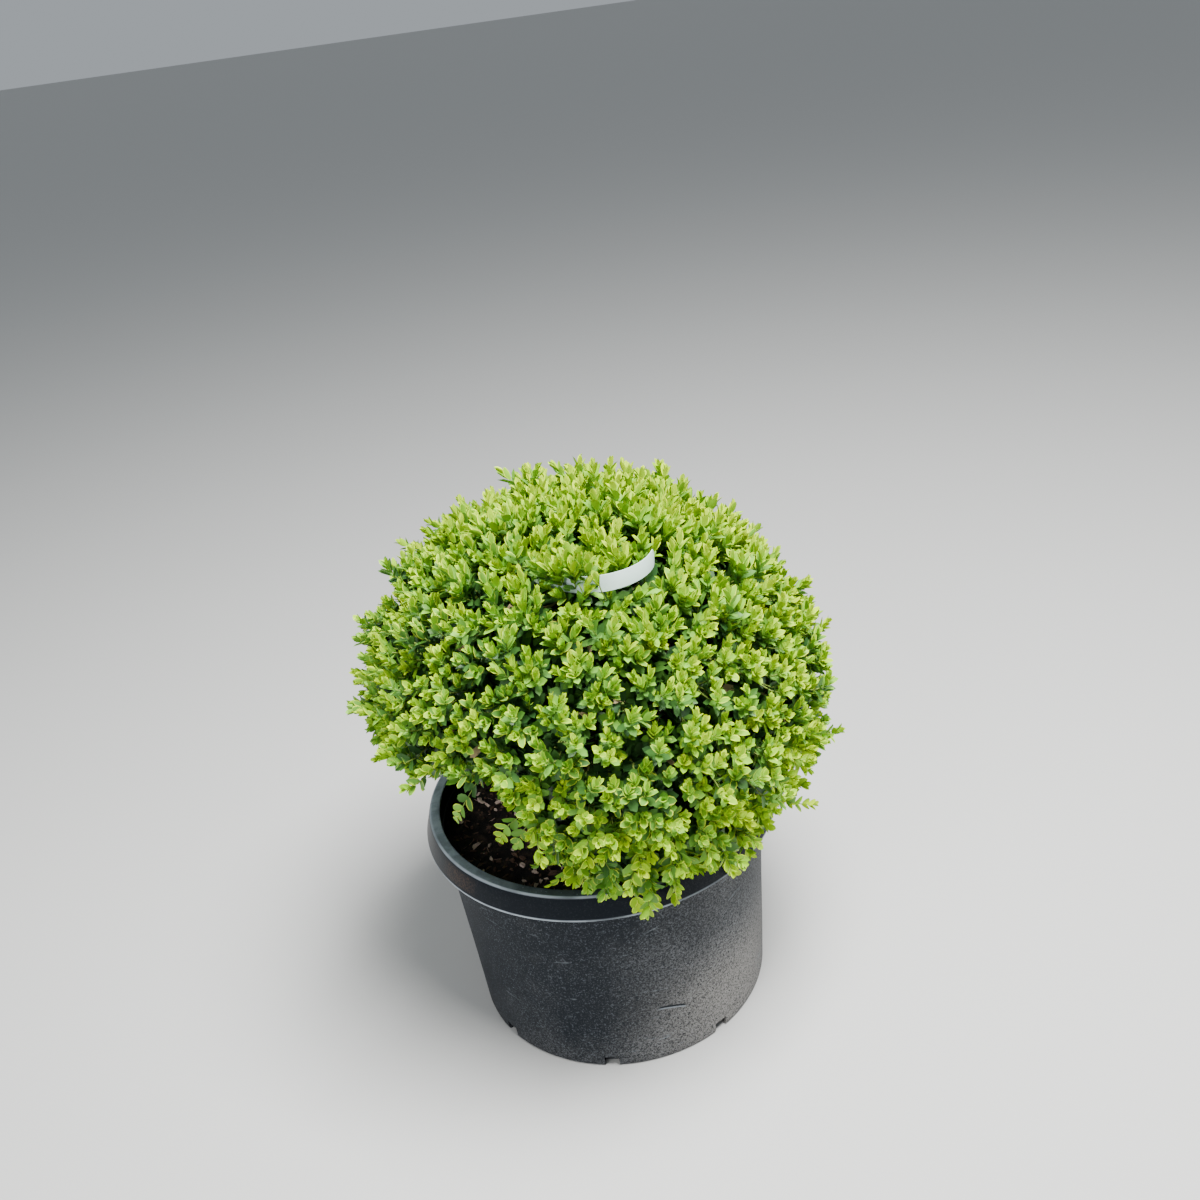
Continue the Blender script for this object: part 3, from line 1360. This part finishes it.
class MakePot(Operator):
    """Make the pot: a moulded black plastic shell with a flared band under its lip"""

    bl_idname = "topiary.make_pot"
    bl_label = "Pot"

    def execute(self, context):
        settings = context.scene.topiary_pot
        piece = add_piece("pot_shell", pot_mesh(settings), "pot", "pot")
        piece.data.materials.append(pot_material(settings))
        return {"FINISHED"}


def wall_inside(s, height):
    """The radius of the wall's inner face at a height."""
    slope = (s.shoulder_radius - s.base_radius) / (s.height - s.band_height)
    return s.base_radius + slope * height - s.wall


def pot_profile(s):
    """The shell's section: up the outside, over the band and its lip, and back down the inside."""
    foot = s.height - s.band_height
    lip_inside = s.rim_radius - s.lip_width
    profile = [
        (0.0, 0.0),
        (s.base_radius, 0.0),
        (s.shoulder_radius, foot),
        (s.flange_radius, foot),
        (s.flange_radius, foot + s.wall / 2),
        (s.rim_radius + 0.0003, s.height),
        (lip_inside, s.height),
        (lip_inside, s.height - s.wall),
        (s.rim_radius - 1.3 * s.wall, s.height - 1.2 * s.wall),
        (s.flange_radius - 1.2 * s.wall, foot + s.wall),
        (wall_inside(s, foot + s.wall), foot + s.wall),
        (wall_inside(s, POT_FLOOR), POT_FLOOR),
        (0.0, POT_FLOOR),
    ]
    radii = (0.004, 0.0015, 0.0006, 0.0006, 0.003, 0.0012, 0.0008, 0.001, 0.001, 0.002, 0.004)
    return divided(rounded(profile, radii), POT_STEP)


def pot_mesh(s):
    """The shell turned from its section, without the two points on its axis, which the caps stand for."""
    rings = lathe_rings(pot_profile(s), POT_SIDES)[1:-1]
    for ring in rings:
        for point in ring:
            point[:] = waved(Vector(point), s)
    return with_notches(skin(rings), s)


def with_notches(mesh, s):
    """The shell with its drain notches cut out round its foot."""
    work = bmesh.new()
    for order in range(NOTCH_COUNT):
        turn = Matrix.Rotation(math.radians(NOTCH_AZIMUTH + 360 * order / NOTCH_COUNT), 4, "Z")
        box = turn @ Matrix.Translation((s.base_radius, 0, 0)) @ Matrix.Diagonal((*NOTCH_SIZE, 1))
        bmesh.ops.create_cube(work, size=1, matrix=box)
    boxes = bpy.data.meshes.new("notches")
    work.to_mesh(boxes)
    work.free()
    cutter = bpy.data.objects.new("notches", boxes)
    whole = bpy.data.objects.new("whole_pot", mesh)
    for item in (cutter, whole):
        bpy.context.scene.collection.objects.link(item)
    cut = whole.modifiers.new("Notches", "BOOLEAN")
    cut.operation = "DIFFERENCE"
    cut.object = cutter
    depsgraph = bpy.context.evaluated_depsgraph_get()
    result = bpy.data.meshes.new_from_object(whole.evaluated_get(depsgraph))
    whole.modifiers.remove(cut)
    for item in (cutter, whole):
        bpy.data.objects.remove(item)
    result.shade_smooth()
    result.set_sharp_from_angle(angle=math.radians(38))
    return result


def waved(point, s):
    """A point of the shell, shifted by the wall's slow waves if it's on the wall."""
    across = math.hypot(point.x, point.y)
    if across < s.base_radius * 0.9 or point.z > s.height - s.band_height:
        return point
    out = Vector((point.x, point.y, 0)) / across
    fade = min(1, point.z / 0.03) * min(1, (s.height - s.band_height - point.z) / 0.02)
    return point + out * (WAVE_DEPTH * fade * noise.noise(point * WAVE_RATE))


def pot_material(s):
    """Black plastic under dust, dried splashes, grit, scuffs and rubbed edges."""
    def build(nodes):
        place = nodes.object_place()
        x, y, z = nodes.xyz(place)
        angle = nodes.add("ShaderNodeMath", {"operation": "ARCTAN2"}, {0: y, 1: x})
        foot = s.height - s.band_height
        wall = z.between(foot + 0.001, foot - 0.004)
        lip = z.between(s.height - 0.0022, s.height - 0.0008)
        grain = nodes.noise(place, 900, 2, 0.7) * 0.5 + nodes.noise(place, 470, 2, 0.7) * 0.5
        patches = nodes.noise(place, 11, 5, 0.6)
        side = (angle - DUSTY_SIDE).cos().clamped() ** 5 * (z.between(0.20, 0.06) * 0.24 + 0.60)
        splash = z.between(0.080, 0.0) * 0.36
        dusty = (side + splash + (patches - 0.52) * 0.9).clamped() * (wall * 0.86 + 0.14)
        cover = (dusty * (grain.between(0.40, 0.62) * 0.85 + 0.20)).clamped()
        paint = nodes.mixed(cover, rgba(s.plastic), rgba(s.dust))
        dried = side * z.between(0.15, 0.05) * wall * grain.between(0.30, 0.62)
        paint = nodes.mixed(dried * 0.6, paint, rgba(s.dried_mud))
        speckle = grain.between(0.52, 0.64) * (wall * 0.62 + 0.10)
        paint = nodes.mixed(speckle * 0.50, paint, rgba(s.grit))
        dark_specks = grain.between(0.48, 0.40) * wall
        paint = nodes.mixed(dark_specks * 0.80, paint, rgba(s.plastic))
        stain = band_stain(s, z, angle, patches) * grain.between(0.42, 0.58)
        paint = nodes.mixed(stain, paint, rgba(s.stain))
        paint = nodes.mixed(lip * lip_dust(nodes, place, angle), paint, rgba(s.lip_dust))
        crumbs_on_lip = lip * nodes.noise(place, 420, 1).between(0.69, 0.74)
        marks = scuff_lines(nodes, angle, z, place) * wall
        worn = (marks + crumbs_on_lip * 0.7 + lip * lip_lines(angle) * 0.6).clamped()
        paint = nodes.mixed(worn, paint, rgba(s.scuff))
        across = (x * x + y * y) ** 0.5
        paint = nodes.mixed(rubbed_edges(nodes, s, across, z, lip, place), paint, rgba(s.rubbed))
        paint = nodes.mixed(dent_line(angle, z, 0.0, 0.0017), paint, rgba(s.plastic))
        light = dent_line(angle, z, DENT_LIGHT_OFFSET, 0.0013) * 0.75
        paint = nodes.mixed(light, paint, rgba(s.scuff))
        rough = 0.40 + wall * 0.14 + cover * 0.35
        height = grain * 0.6 + nodes.noise(place, 300, 2) * 0.5 - dent_line(angle, z, 0.0, 0.0020) * 3.0
        return {"Base Color": paint, "Roughness": rough, "Normal": nodes.bump(height, 0.3, 0.0006)}

    return new_material("pot_plastic", {"Specular IOR Level": 0.12}, build)


def band_stain(s, z, angle, patches):
    """Patches of the stain at its one place on the band."""
    foot = s.height - s.band_height
    band = z.between(foot + 0.003, foot + 0.006) * z.between(s.height - 0.003, s.height - 0.006)
    return band * (angle - STAIN_AZIMUTH).cos().between(0.985, 0.999) * patches.between(0.40, 0.60)


def lip_dust(nodes, place, angle):
    """The share of dust round the lip, most of it on the left."""
    to_left = (angle - math.pi).cos().between(0.35, 0.95) * 0.75 + 0.25
    return to_left * (nodes.noise(place, 55, 4, 0.6).between(0.30, 0.70) * 0.5 + 0.5)


def scuff_lines(nodes, angle, z, place):
    """Short level scratches, here and there on the wall."""
    strip = nodes.combined(angle * 3.0, 0.0, z * 85 + nodes.noise(place, 9, 1) * 3)
    streaks = nodes.noise(strip, 2.0, 4, 0.65, 0.5).between(0.60, 0.70)
    return streaks * nodes.noise(place, 19, 2, 0.5).between(0.50, 0.60) * 0.55


def rubbed_edges(nodes, s, across, z, lip, place):
    """The outer edge of the lip and the flange's edge, rubbed unevenly."""
    foot = s.height - s.band_height
    lip_edge = lip * across.between(s.rim_radius - 0.0019, s.rim_radius - 0.0011)
    on_flange = across.between(s.flange_radius - 0.0030, s.flange_radius - 0.0016)
    flange_edge = z.between(foot + 0.0026, foot + 0.0014) * on_flange
    uneven = nodes.noise(place, 22, 3).between(0.35, 0.65) * 0.6 + 0.25
    return (lip_edge + flange_edge).clamped() * uneven


def lip_lines(angle):
    """1 at the two moulding lines across the lip, and 0 beside them."""
    first, second = [(angle - line).absolute().between(0.007, 0.003) for line in LIP_LINES]
    return first + second


def dent_line(angle, z, offset, half_width):
    """1 on the dent's sagging line, shifted by an offset, and 0 beside it and past its ends."""
    along = angle - DENT_AZIMUTH
    from_line = z - (along * DENT_SLOPE + along * along * DENT_SAG + (DENT_HEIGHT + offset))
    near = from_line.absolute().between(half_width, half_width * 0.3)
    return near * along.absolute().between(*DENT_ENDS)


class MakeMix(Operator):
    """Make the growing mix: a crumbly dark surface with bark chips and fibres"""

    bl_idname = "topiary.make_mix"
    bl_label = "Growing mix"

    def execute(self, context):
        settings = context.scene.topiary_mix
        pot = context.scene.topiary_pot
        piece = add_piece("growing_mix_bed", mix_mesh(settings, pot), "growing_mix", "growing_mix")
        piece.data.materials.append(mix_material(settings))
        scatter_on_mix(settings, pot)
        return {"FINISHED"}


def mix_height(x, y):
    """The source's gentle waves, which fade out round the stem."""
    fade = min(1, max(0, (math.hypot(x, y) - 0.034) / 0.040))
    waves = math.sin(x / 0.031 + 1.1) * math.cos(y / 0.027 - 0.4) + 0.6 * math.sin((x + y) / 0.019)
    return fade * fade * (3 - 2 * fade) * waves * 0.002


def crumbs(x, y):
    """The relief of the mix's crumbs, from about -1 to 1."""
    coarse = noise.noise(Vector((x * 85, y * 85, 3)))
    fine = noise.noise(Vector((x * 260, y * 260, 9)))
    return 0.6 * coarse + 0.4 * fine


def mix_edge(pot, height):
    """The radius of the mix's side at a height, just inside the wall."""
    return wall_inside(pot, height) - MIX_GAP


def mix_mesh(s, pot):
    """The mix as a closed plug with a crumbly top."""
    top = pot.height - s.depth_below_rim
    edge = mix_edge(pot, top)
    low_edge = mix_edge(pot, MIX_FOOT)
    side = lathe_rings([(low_edge - 0.006, 0.0042), (low_edge, MIX_FOOT), (edge, top - 0.004)], MIX_SIDES)
    surface = lathe_rings([(radius, top) for radius in np.linspace(edge, 0.0015, MIX_RINGS)], MIX_SIDES)
    for ring in surface:
        for point in ring:
            x, y, _ = point
            point[2] += mix_height(x, y) + s.relief * crumbs(x, y)
    return skin(np.concatenate([side, surface]))


def mix_material(s):
    """Damp dark mix with drier brown crumbs."""
    def build(nodes):
        place = nodes.object_place()
        patches = nodes.noise(place, 75, 4, 0.6).between(0.44, 0.72)
        crumb = nodes.noise(place, 520, 3, 0.7)
        paint = nodes.mixed((patches * crumb * 1.7).clamped(), rgba(s.dark), rgba(s.brown))
        height = crumb + nodes.noise(place, 190, 2) * 0.7
        rough = 0.82 + crumb * 0.18
        return {"Base Color": paint, "Roughness": rough, "Normal": nodes.bump(height, 0.8, 0.0025)}

    return new_material("growing_mix", {"Specular IOR Level": 0.3}, build)


def chip_form(length, width, thickness, seed):
    """A split flake of bark with angular edges, a little twisted."""
    random = np.random.default_rng(seed)
    corners = CHIP_CORNERS
    angles = (np.arange(corners) + 0.7 * random.random(corners)) * 2 * np.pi / corners
    reach = 0.70 + 0.45 * random.random(corners)
    x = length / 2 * reach * np.cos(angles)
    y = width / 2 * reach * np.sin(angles)
    twist = 0.10 * length * np.sin(4 * x / length + seed)
    lower = np.stack([x, y, twist - thickness / 2], axis=1)
    upper = np.stack([x * 0.86, y * 0.82, twist + thickness * (0.3 + 0.4 * random.random(corners))], axis=1)
    mesh = skin([lower, upper])
    mesh.shade_flat()
    return mesh


def scatter_tree():
    """A tree that scatters a collection's forms over a surface, laid flat and turned by the seed."""
    sockets = {"Forms": "NodeSocketCollection", "Density": "NodeSocketFloat", "Least size": "NodeSocketFloat",
               "Greatest size": "NodeSocketFloat", "Tilt": "NodeSocketFloat", "Seed": "NodeSocketInt",
               "Material": "NodeSocketMaterial"}
    nodes, entry = new_tree("Scattered chips", sockets)
    points = nodes.add("GeometryNodeDistributePointsOnFaces", inputs={
        "Mesh": entry["Geometry"], "Density": entry["Density"], "Seed": entry["Seed"]})
    forms = nodes.add("GeometryNodeCollectionInfo", inputs={
        "Collection": entry["Forms"], "Separate Children": True, "Reset Children": True})
    tilt = entry["Tilt"]
    turn = nodes.add("FunctionNodeRandomValue", {"data_type": "FLOAT_VECTOR"}, {
        "Min": nodes.combined(tilt * -1, tilt * -1, 0.0), "Max": nodes.combined(tilt, tilt, 2 * math.pi),
        "Seed": entry["Seed"]})
    limits = {"Min_001": entry["Least size"], "Max_001": entry["Greatest size"], "Seed": entry["Seed"]}
    size = nodes.add("FunctionNodeRandomValue", {"data_type": "FLOAT"}, limits, "Value_001")
    chips = nodes.add("GeometryNodeInstanceOnPoints", inputs={
        "Points": points, "Instance": forms, "Pick Instance": True, "Rotation": turn,
        "Scale": nodes.combined(size, size, size)})
    real = nodes.add("GeometryNodeRealizeInstances", inputs={"Geometry": chips})
    painted = nodes.add("GeometryNodeSetMaterial", inputs={"Geometry": real, "Material": entry["Material"]})
    return close_tree(nodes, painted)


def forms_collection(name, meshes):
    """Meshes as hidden objects in a collection, for a growth tree to take its forms from."""
    collection = bpy.data.collections.new(name)
    for order, mesh in enumerate(meshes):
        collection.objects.link(bpy.data.objects.new(f"{name}_{order}", mesh))
    return collection


def drop_forms(collection):
    for item in list(collection.objects):
        bpy.data.objects.remove(item)
    bpy.data.collections.remove(collection)


def mix_patch(s, pot):
    """The open surface of the mix, without its edge and the foot of the stem, to scatter on."""
    top = pot.height - s.depth_below_rim
    radii = np.linspace(PATCH_START, mix_edge(pot, top) - PATCH_EDGE, PATCH_RINGS)
    rings = lathe_rings([(radius, top) for radius in radii], PATCH_SIDES)
    points = [(x, y, z + mix_height(x, y) + s.relief * crumbs(x, y)) for x, y, z in rings.reshape(-1, 3)]
    faces = [(a, d, c, b) for a, b, c, d in ring_faces(PATCH_RINGS, PATCH_SIDES)]
    mesh = bpy.data.meshes.new("mix patch")
    mesh.from_pydata(points, [], faces)
    return mesh


def chip_material(name, paint, streak):
    """Split bark of one colour with streaks of a deeper one."""
    def build(nodes):
        place = nodes.object_place()
        grain = nodes.noise(place, 620, 4, 0.65, 0.8)
        patch = nodes.noise(place, 38, 2)
        tone = nodes.mixed((grain * 0.8 + patch * 0.5 - 0.25).clamped(), rgba(streak), rgba(paint))
        rough = 0.72 + grain * 0.25
        return {"Base Color": tone, "Roughness": rough, "Normal": nodes.bump(grain, 0.5, 0.0008)}

    return new_material(name, {"Specular IOR Level": 0.3}, build)


def scatter_on_mix(s, pot):
    """Two kinds of chips and one of fibres, each a joined piece strewn over the mix."""
    tree = scatter_tree()
    chips = forms_collection("chip", [chip_form(*form) for form in CHIPS])
    fibres = forms_collection("fibre", [chip_form(*form) for form in FIBRES])
    pale = chip_material("bark_chip", s.chip, deeper(s.chip, 0.4))
    aged = chip_material("old_bark_chip", s.old_chip, deeper(s.old_chip, 0.3))
    straw = chip_material("mix_fibre", deeper(s.chip, 0.55), s.old_chip)
    # Each set's density, least and greatest size, tilt and seed
    sets = (
        ("pale_bark_chips", chips, pale, s.chip_density * 0.34, 0.6, 1.4, 0.42, 5),
        ("aged_bark_chips", chips, aged, s.chip_density * 1.6, 0.4, 1.1, 0.45, 8),
        ("mix_fibres", fibres, straw, s.fibre_density * 0.35, 0.5, 1.1, 0.25, 13),
    )
    for name, forms, material, density, least, greatest, tilt, seed in sets:
        values = {"Forms": forms, "Density": density, "Least size": least, "Greatest size": greatest,
                  "Tilt": tilt, "Seed": seed, "Material": material}
        mesh = grown_mesh(name, mix_patch(s, pot), tree, values)
        add_piece(name, mesh, "growing_mix", "growing_mix")
    drop_forms(chips)
    drop_forms(fibres)


class MakeLimbs(Operator):
    """Make the stem and the main boughs, with their bark's relief"""

    bl_idname = "topiary.make_limbs"
    bl_label = "Stem and boughs"

    def execute(self, context):
        s = context.scene.topiary_wood
        bark = bark_material(s)

        def bough_radius(t, _):
            return s.bough_root_radius + (s.bough_tip_radius - s.bough_root_radius) * t

        limbs = [("stem_bark", "stem", limb_mesh(
            stem_curve(), stem_radius_of(s), s.bark_relief, STEM_SIDES, STEM_STEPS, STEM_SEED, level=True))]
        for index, (name, *_) in enumerate(MASSES):
            bough = limb_mesh(bough_curve(index), bough_radius, s.bark_relief * 0.5, BOUGH_SIDES, BOUGH_STEPS,
                              BOUGH_SEED + index)
            limbs.append((f"bough_bark_{name}", f"bough_{name}", bough))
        for piece_name, node, mesh in limbs:
            piece = add_piece(piece_name, mesh, "bark", node)
            piece.data.materials.append(bark)
        return {"FINISHED"}


def stem_radius_of(s):
    """The stem's radius along and round it: its taper, its lobed root flare and its domed top."""
    height = STEM_FORK[2] - STEM_FOOT[2]

    def radius(t, angle):
        taper = s.stem_foot_radius + (s.stem_fork_radius - s.stem_foot_radius) * t
        lobes = 0.75 + 0.25 * math.cos(FLARE_LOBES * angle)
        flare = s.root_flare * math.exp(-t * height / FLARE_HEIGHT) * lobes
        dome = math.sqrt(max(0.04, 1 - max(0, (t - 0.9) / 0.1) ** 2))
        return (taper + flare) * dome

    return radius


def bark_material(s):
    """Furrowed bark with a little grey-green growth."""
    def build(nodes):
        place = nodes.object_place()
        x, y, z = nodes.xyz(place)
        tall = nodes.combined(x, y, z * 0.16)
        furrows = nodes.noise(tall, 430, 4, 0.6)
        plates = nodes.noise(place, 95, 3, 0.6)
        ridge = (furrows * 0.75 + plates * 0.45 - 0.12).between(0.30, 0.62)
        paint = nodes.mixed(ridge, rgba(s.furrow), rgba(s.bark))
        lichen = nodes.noise(place, 60, 2).between(0.62, 0.72) * 0.25
        paint = nodes.mixed(lichen, paint, rgba(s.lichen))
        rough = 0.8 + plates * 0.15
        return {"Base Color": paint, "Roughness": rough, "Normal": nodes.bump(furrows, 0.7, 0.001)}

    return new_material("bark", {"Specular IOR Level": 0.3}, build)


class MakeTwigs(Operator):
    """Make the branches, twigs and green shoots that grow on from the boughs"""

    bl_idname = "topiary.make_twigs"
    bl_label = "Twigs"

    def execute(self, context):
        growth = Growth(context.scene.topiary_foliage)
        s = context.scene.topiary_wood
        tree = twig_tree()
        woody = twig_material("young_bark", s.young_bark, s.furrow)
        green = twig_material("green_shoot", s.green_bark, deeper(s.green_bark, 0.55))
        kinds = (("twigs", wood_lines, 6, woody), ("shoots", shoot_lines, 4, green))
        for index, (name, *_) in enumerate(MASSES):
            for kind, lines_of, sides, material in kinds:
                values = {"Sides": sides, "Material": material}
                mesh = grown_mesh(f"{kind}_{name}", line_mesh(lines_of(growth, index)), tree, values)
                add_piece(f"{kind}_{name}", mesh, "bark", f"foliage_{name}")
        return {"FINISHED"}


def twig_material(name, paint, dark):
    """The skin of twigs and shoots, in patches of two tones."""
    def build(nodes):
        place = nodes.object_place()
        patches = nodes.noise(place, 150, 3, 0.6)
        tone = nodes.mixed(patches.between(0.35, 0.65), rgba(dark), rgba(paint))
        return {"Base Color": tone, "Roughness": 0.6 + patches * 0.2}

    return new_material(name, {"Specular IOR Level": 0.35}, build)


class MakeLeaves(Operator):
    """Make the leaves of all the masses, dealt out in shades by spray"""

    bl_idname = "topiary.make_leaves"
    bl_label = "Leaves"

    def execute(self, context):
        settings = context.scene.topiary_foliage
        leaves = crown_leaves(Growth(settings))
        forms = forms_collection("leaf", [
            leaf_form(f"leaf_form_{order}", *form) for order, form in enumerate(LEAF_FORMS)])
        nodes, _, instances, kept = leaf_tree()
        tree = paint_leaves(nodes, instances, kept, *leaf_materials(settings))
        values = {"Leaf forms": forms, "Leaf length": settings.leaf_length, "Leaf width": settings.leaf_width}
        for index, (name, *_) in enumerate(MASSES):
            mesh = grown_mesh(f"leaves_{name}", leaf_points(leaves, index), tree, values)
            add_piece(f"leaves_{name}", mesh, "foliage", f"foliage_{name}")
        drop_forms(forms)
        return {"FINISHED"}


class MakeLabel(Operator):
    """Make the blank strip label, curved in the top of the crown"""

    bl_idname = "topiary.make_label"
    bl_label = "Label"

    def execute(self, context):
        settings = context.scene.topiary_label
        piece = add_piece("plant_label_strip", label_mesh(settings), "label", "plant_label")
        piece.data.materials.append(label_material(settings))
        return {"FINISHED"}


def label_mesh(s):
    """A thin strip round part of a ring, with rounded ends."""
    rises = (-1, -0.5, 0, 0.5, 1)
    section = [(-1, rise) for rise in rises] + [(1, rise) for rise in reversed(rises)]
    start, end = np.radians(LABEL_ARC)
    half_height = LABEL_HEIGHT * 0.5
    rings = []
    for t in np.linspace(0, 1, LABEL_STEPS):
        angle = start + (end - start) * t
        from_end = min(t, 1 - t) * (end - start) * LABEL_RADIUS / half_height
        half = half_height * math.sqrt(max(0.02, 1 - max(0, 1 - from_end) ** 2))
        out = np.array([math.cos(angle), math.sin(angle), 0])
        ring = []
        for side, rise in section:
            half_thickness = s.thickness * 0.5 * (0.6 if abs(rise) == 1 else 1)
            ring.append(LABEL_CENTRE + out * (LABEL_RADIUS + side * half_thickness) + UP * rise * half)
        rings.append(ring)
    mesh = skin(rings)
    mesh.set_sharp_from_angle(angle=math.radians(40))
    return mesh


def label_material(s):
    """White plastic with faint smudges."""
    def build(nodes):
        place = nodes.object_place()
        smudge = nodes.noise(place, 70, 3, 0.55).between(0.45, 0.75)
        paint = nodes.mixed(smudge * 0.35, rgba(s.plastic), rgba(deeper(s.plastic, 0.72)))
        return {"Base Color": paint, "Roughness": 0.34 + smudge * 0.22}

    return new_material("label_plastic", {"Specular IOR Level": 0.5}, build)


class MakeStage(Operator):
    """Make the floor, the soft lights and the camera"""

    bl_idname = "topiary.make_stage"
    bl_label = "Stage"

    def execute(self, context):
        s = context.scene.topiary_stage
        floor_mesh = bpy.data.meshes.new("floor")
        corners = [(FLOOR_REACH * x, FLOOR_REACH * y, 0) for x, y in ((-1, -1), (1, -1), (1, 1), (-1, 1))]
        floor_mesh.from_pydata(corners, [], [(0, 1, 2, 3)])
        floor = bpy.data.objects.new("floor", floor_mesh)
        floor_mesh.materials.append(new_material("floor", {"Base Color": rgba(s.floor), "Roughness": 0.9}))
        context.scene.collection.objects.link(floor)
        world = bpy.data.worlds.new("soft_light")
        world.use_nodes = True
        background = world.node_tree.nodes["Background"]
        background.inputs["Color"].default_value = rgba(s.sky)
        background.inputs["Strength"].default_value = s.sky_strength
        context.scene.world = world
        add_lamp("key", KEY_PLACE, s.key_power, KEY_SIZE)
        add_lamp("fill", FILL_PLACE, s.fill_power, FILL_SIZE)
        add_camera(s)
        return {"FINISHED"}


def add_lamp(name, place, power, size):
    """A square soft lamp that faces the crown."""
    light = bpy.data.lights.new(name, "AREA")
    light.energy = power
    light.size = size
    lamp = bpy.data.objects.new(name, light)
    lamp.location = place
    lamp.rotation_euler = (Vector(CROWN_CENTRE) - Vector(place)).to_track_quat("-Z", "Y").to_euler()
    bpy.context.scene.collection.objects.link(lamp)


def add_camera(s):
    """The camera, placed so that the middle of the rim falls on its pixel."""
    back = np.array([0, -math.cos(s.elevation), math.sin(s.elevation)])
    right = np.array([1.0, 0, 0])
    up = np.cross(back, right)
    turned_right = math.cos(s.roll) * right + math.sin(s.roll) * up
    turned_up = -math.sin(s.roll) * right + math.cos(s.roll) * up
    view = Matrix([turned_right, turned_up, back])
    across = (RIM_PIXEL[0] - IMAGE_SIZE / 2) / s.focal_pixels
    down = (RIM_PIXEL[1] - IMAGE_SIZE / 2) / s.focal_pixels
    ray = Vector((across, -down, -1))
    offset = Vector((0, 0, -1)).rotation_difference(ray.normalized()).to_matrix()
    camera = bpy.data.objects.new("camera", bpy.data.cameras.new("camera"))
    camera.data.sensor_width = 36
    camera.data.lens = camera.data.sensor_width * s.focal_pixels / IMAGE_SIZE
    camera.location = Vector((0, 0, POT_BOX[1].z)) + Vector(back) * s.distance
    camera.rotation_euler = (view.transposed() @ offset.transposed()).to_euler()
    bpy.context.scene.collection.objects.link(camera)
    bpy.context.scene.camera = camera


class TopiaryPanel(Panel):
    """Lists the sizes, the colours and the pieces"""

    bl_idname = "VIEW3D_PT_topiary"
    bl_label = "Box topiary ball"
    bl_space_type = "VIEW_3D"
    bl_region_type = "UI"
    bl_category = "Topiary"

    def draw(self, context):
        for attribute, group in SETTINGS:
            box = self.layout.box()
            box.label(text=attribute.replace("topiary_", "").capitalize())
            for name in group.__annotations__:
                box.prop(getattr(context.scene, attribute), name)
        for operator in OPERATORS:
            self.layout.operator(operator.bl_idname)


SETTINGS = (
    ("topiary_pot", PotSettings),
    ("topiary_mix", MixSettings),
    ("topiary_wood", WoodSettings),
    ("topiary_foliage", FoliageSettings),
    ("topiary_label", LabelSettings),
    ("topiary_stage", StageSettings),
)
OPERATORS = (MakeStage, MakePot, MakeMix, MakeLimbs, MakeTwigs, MakeLeaves, MakeLabel)


def register():
    for attribute, group in SETTINGS:
        bpy.utils.register_class(group)
        setattr(bpy.types.Scene, attribute, PointerProperty(type=group))
    for item in (*OPERATORS, TopiaryPanel):
        bpy.utils.register_class(item)


def unregister():
    for item in (TopiaryPanel, *reversed(OPERATORS)):
        bpy.utils.unregister_class(item)
    for attribute, group in reversed(SETTINGS):
        delattr(bpy.types.Scene, attribute)
        bpy.utils.unregister_class(group)


def main():
    register()
    bpy.ops.topiary.make_stage()
    bpy.ops.topiary.make_pot()
    bpy.ops.topiary.make_mix()
    bpy.ops.topiary.make_limbs()
    bpy.ops.topiary.make_twigs()
    bpy.ops.topiary.make_leaves()
    bpy.ops.topiary.make_label()


if __name__ == "__main__":
    main()
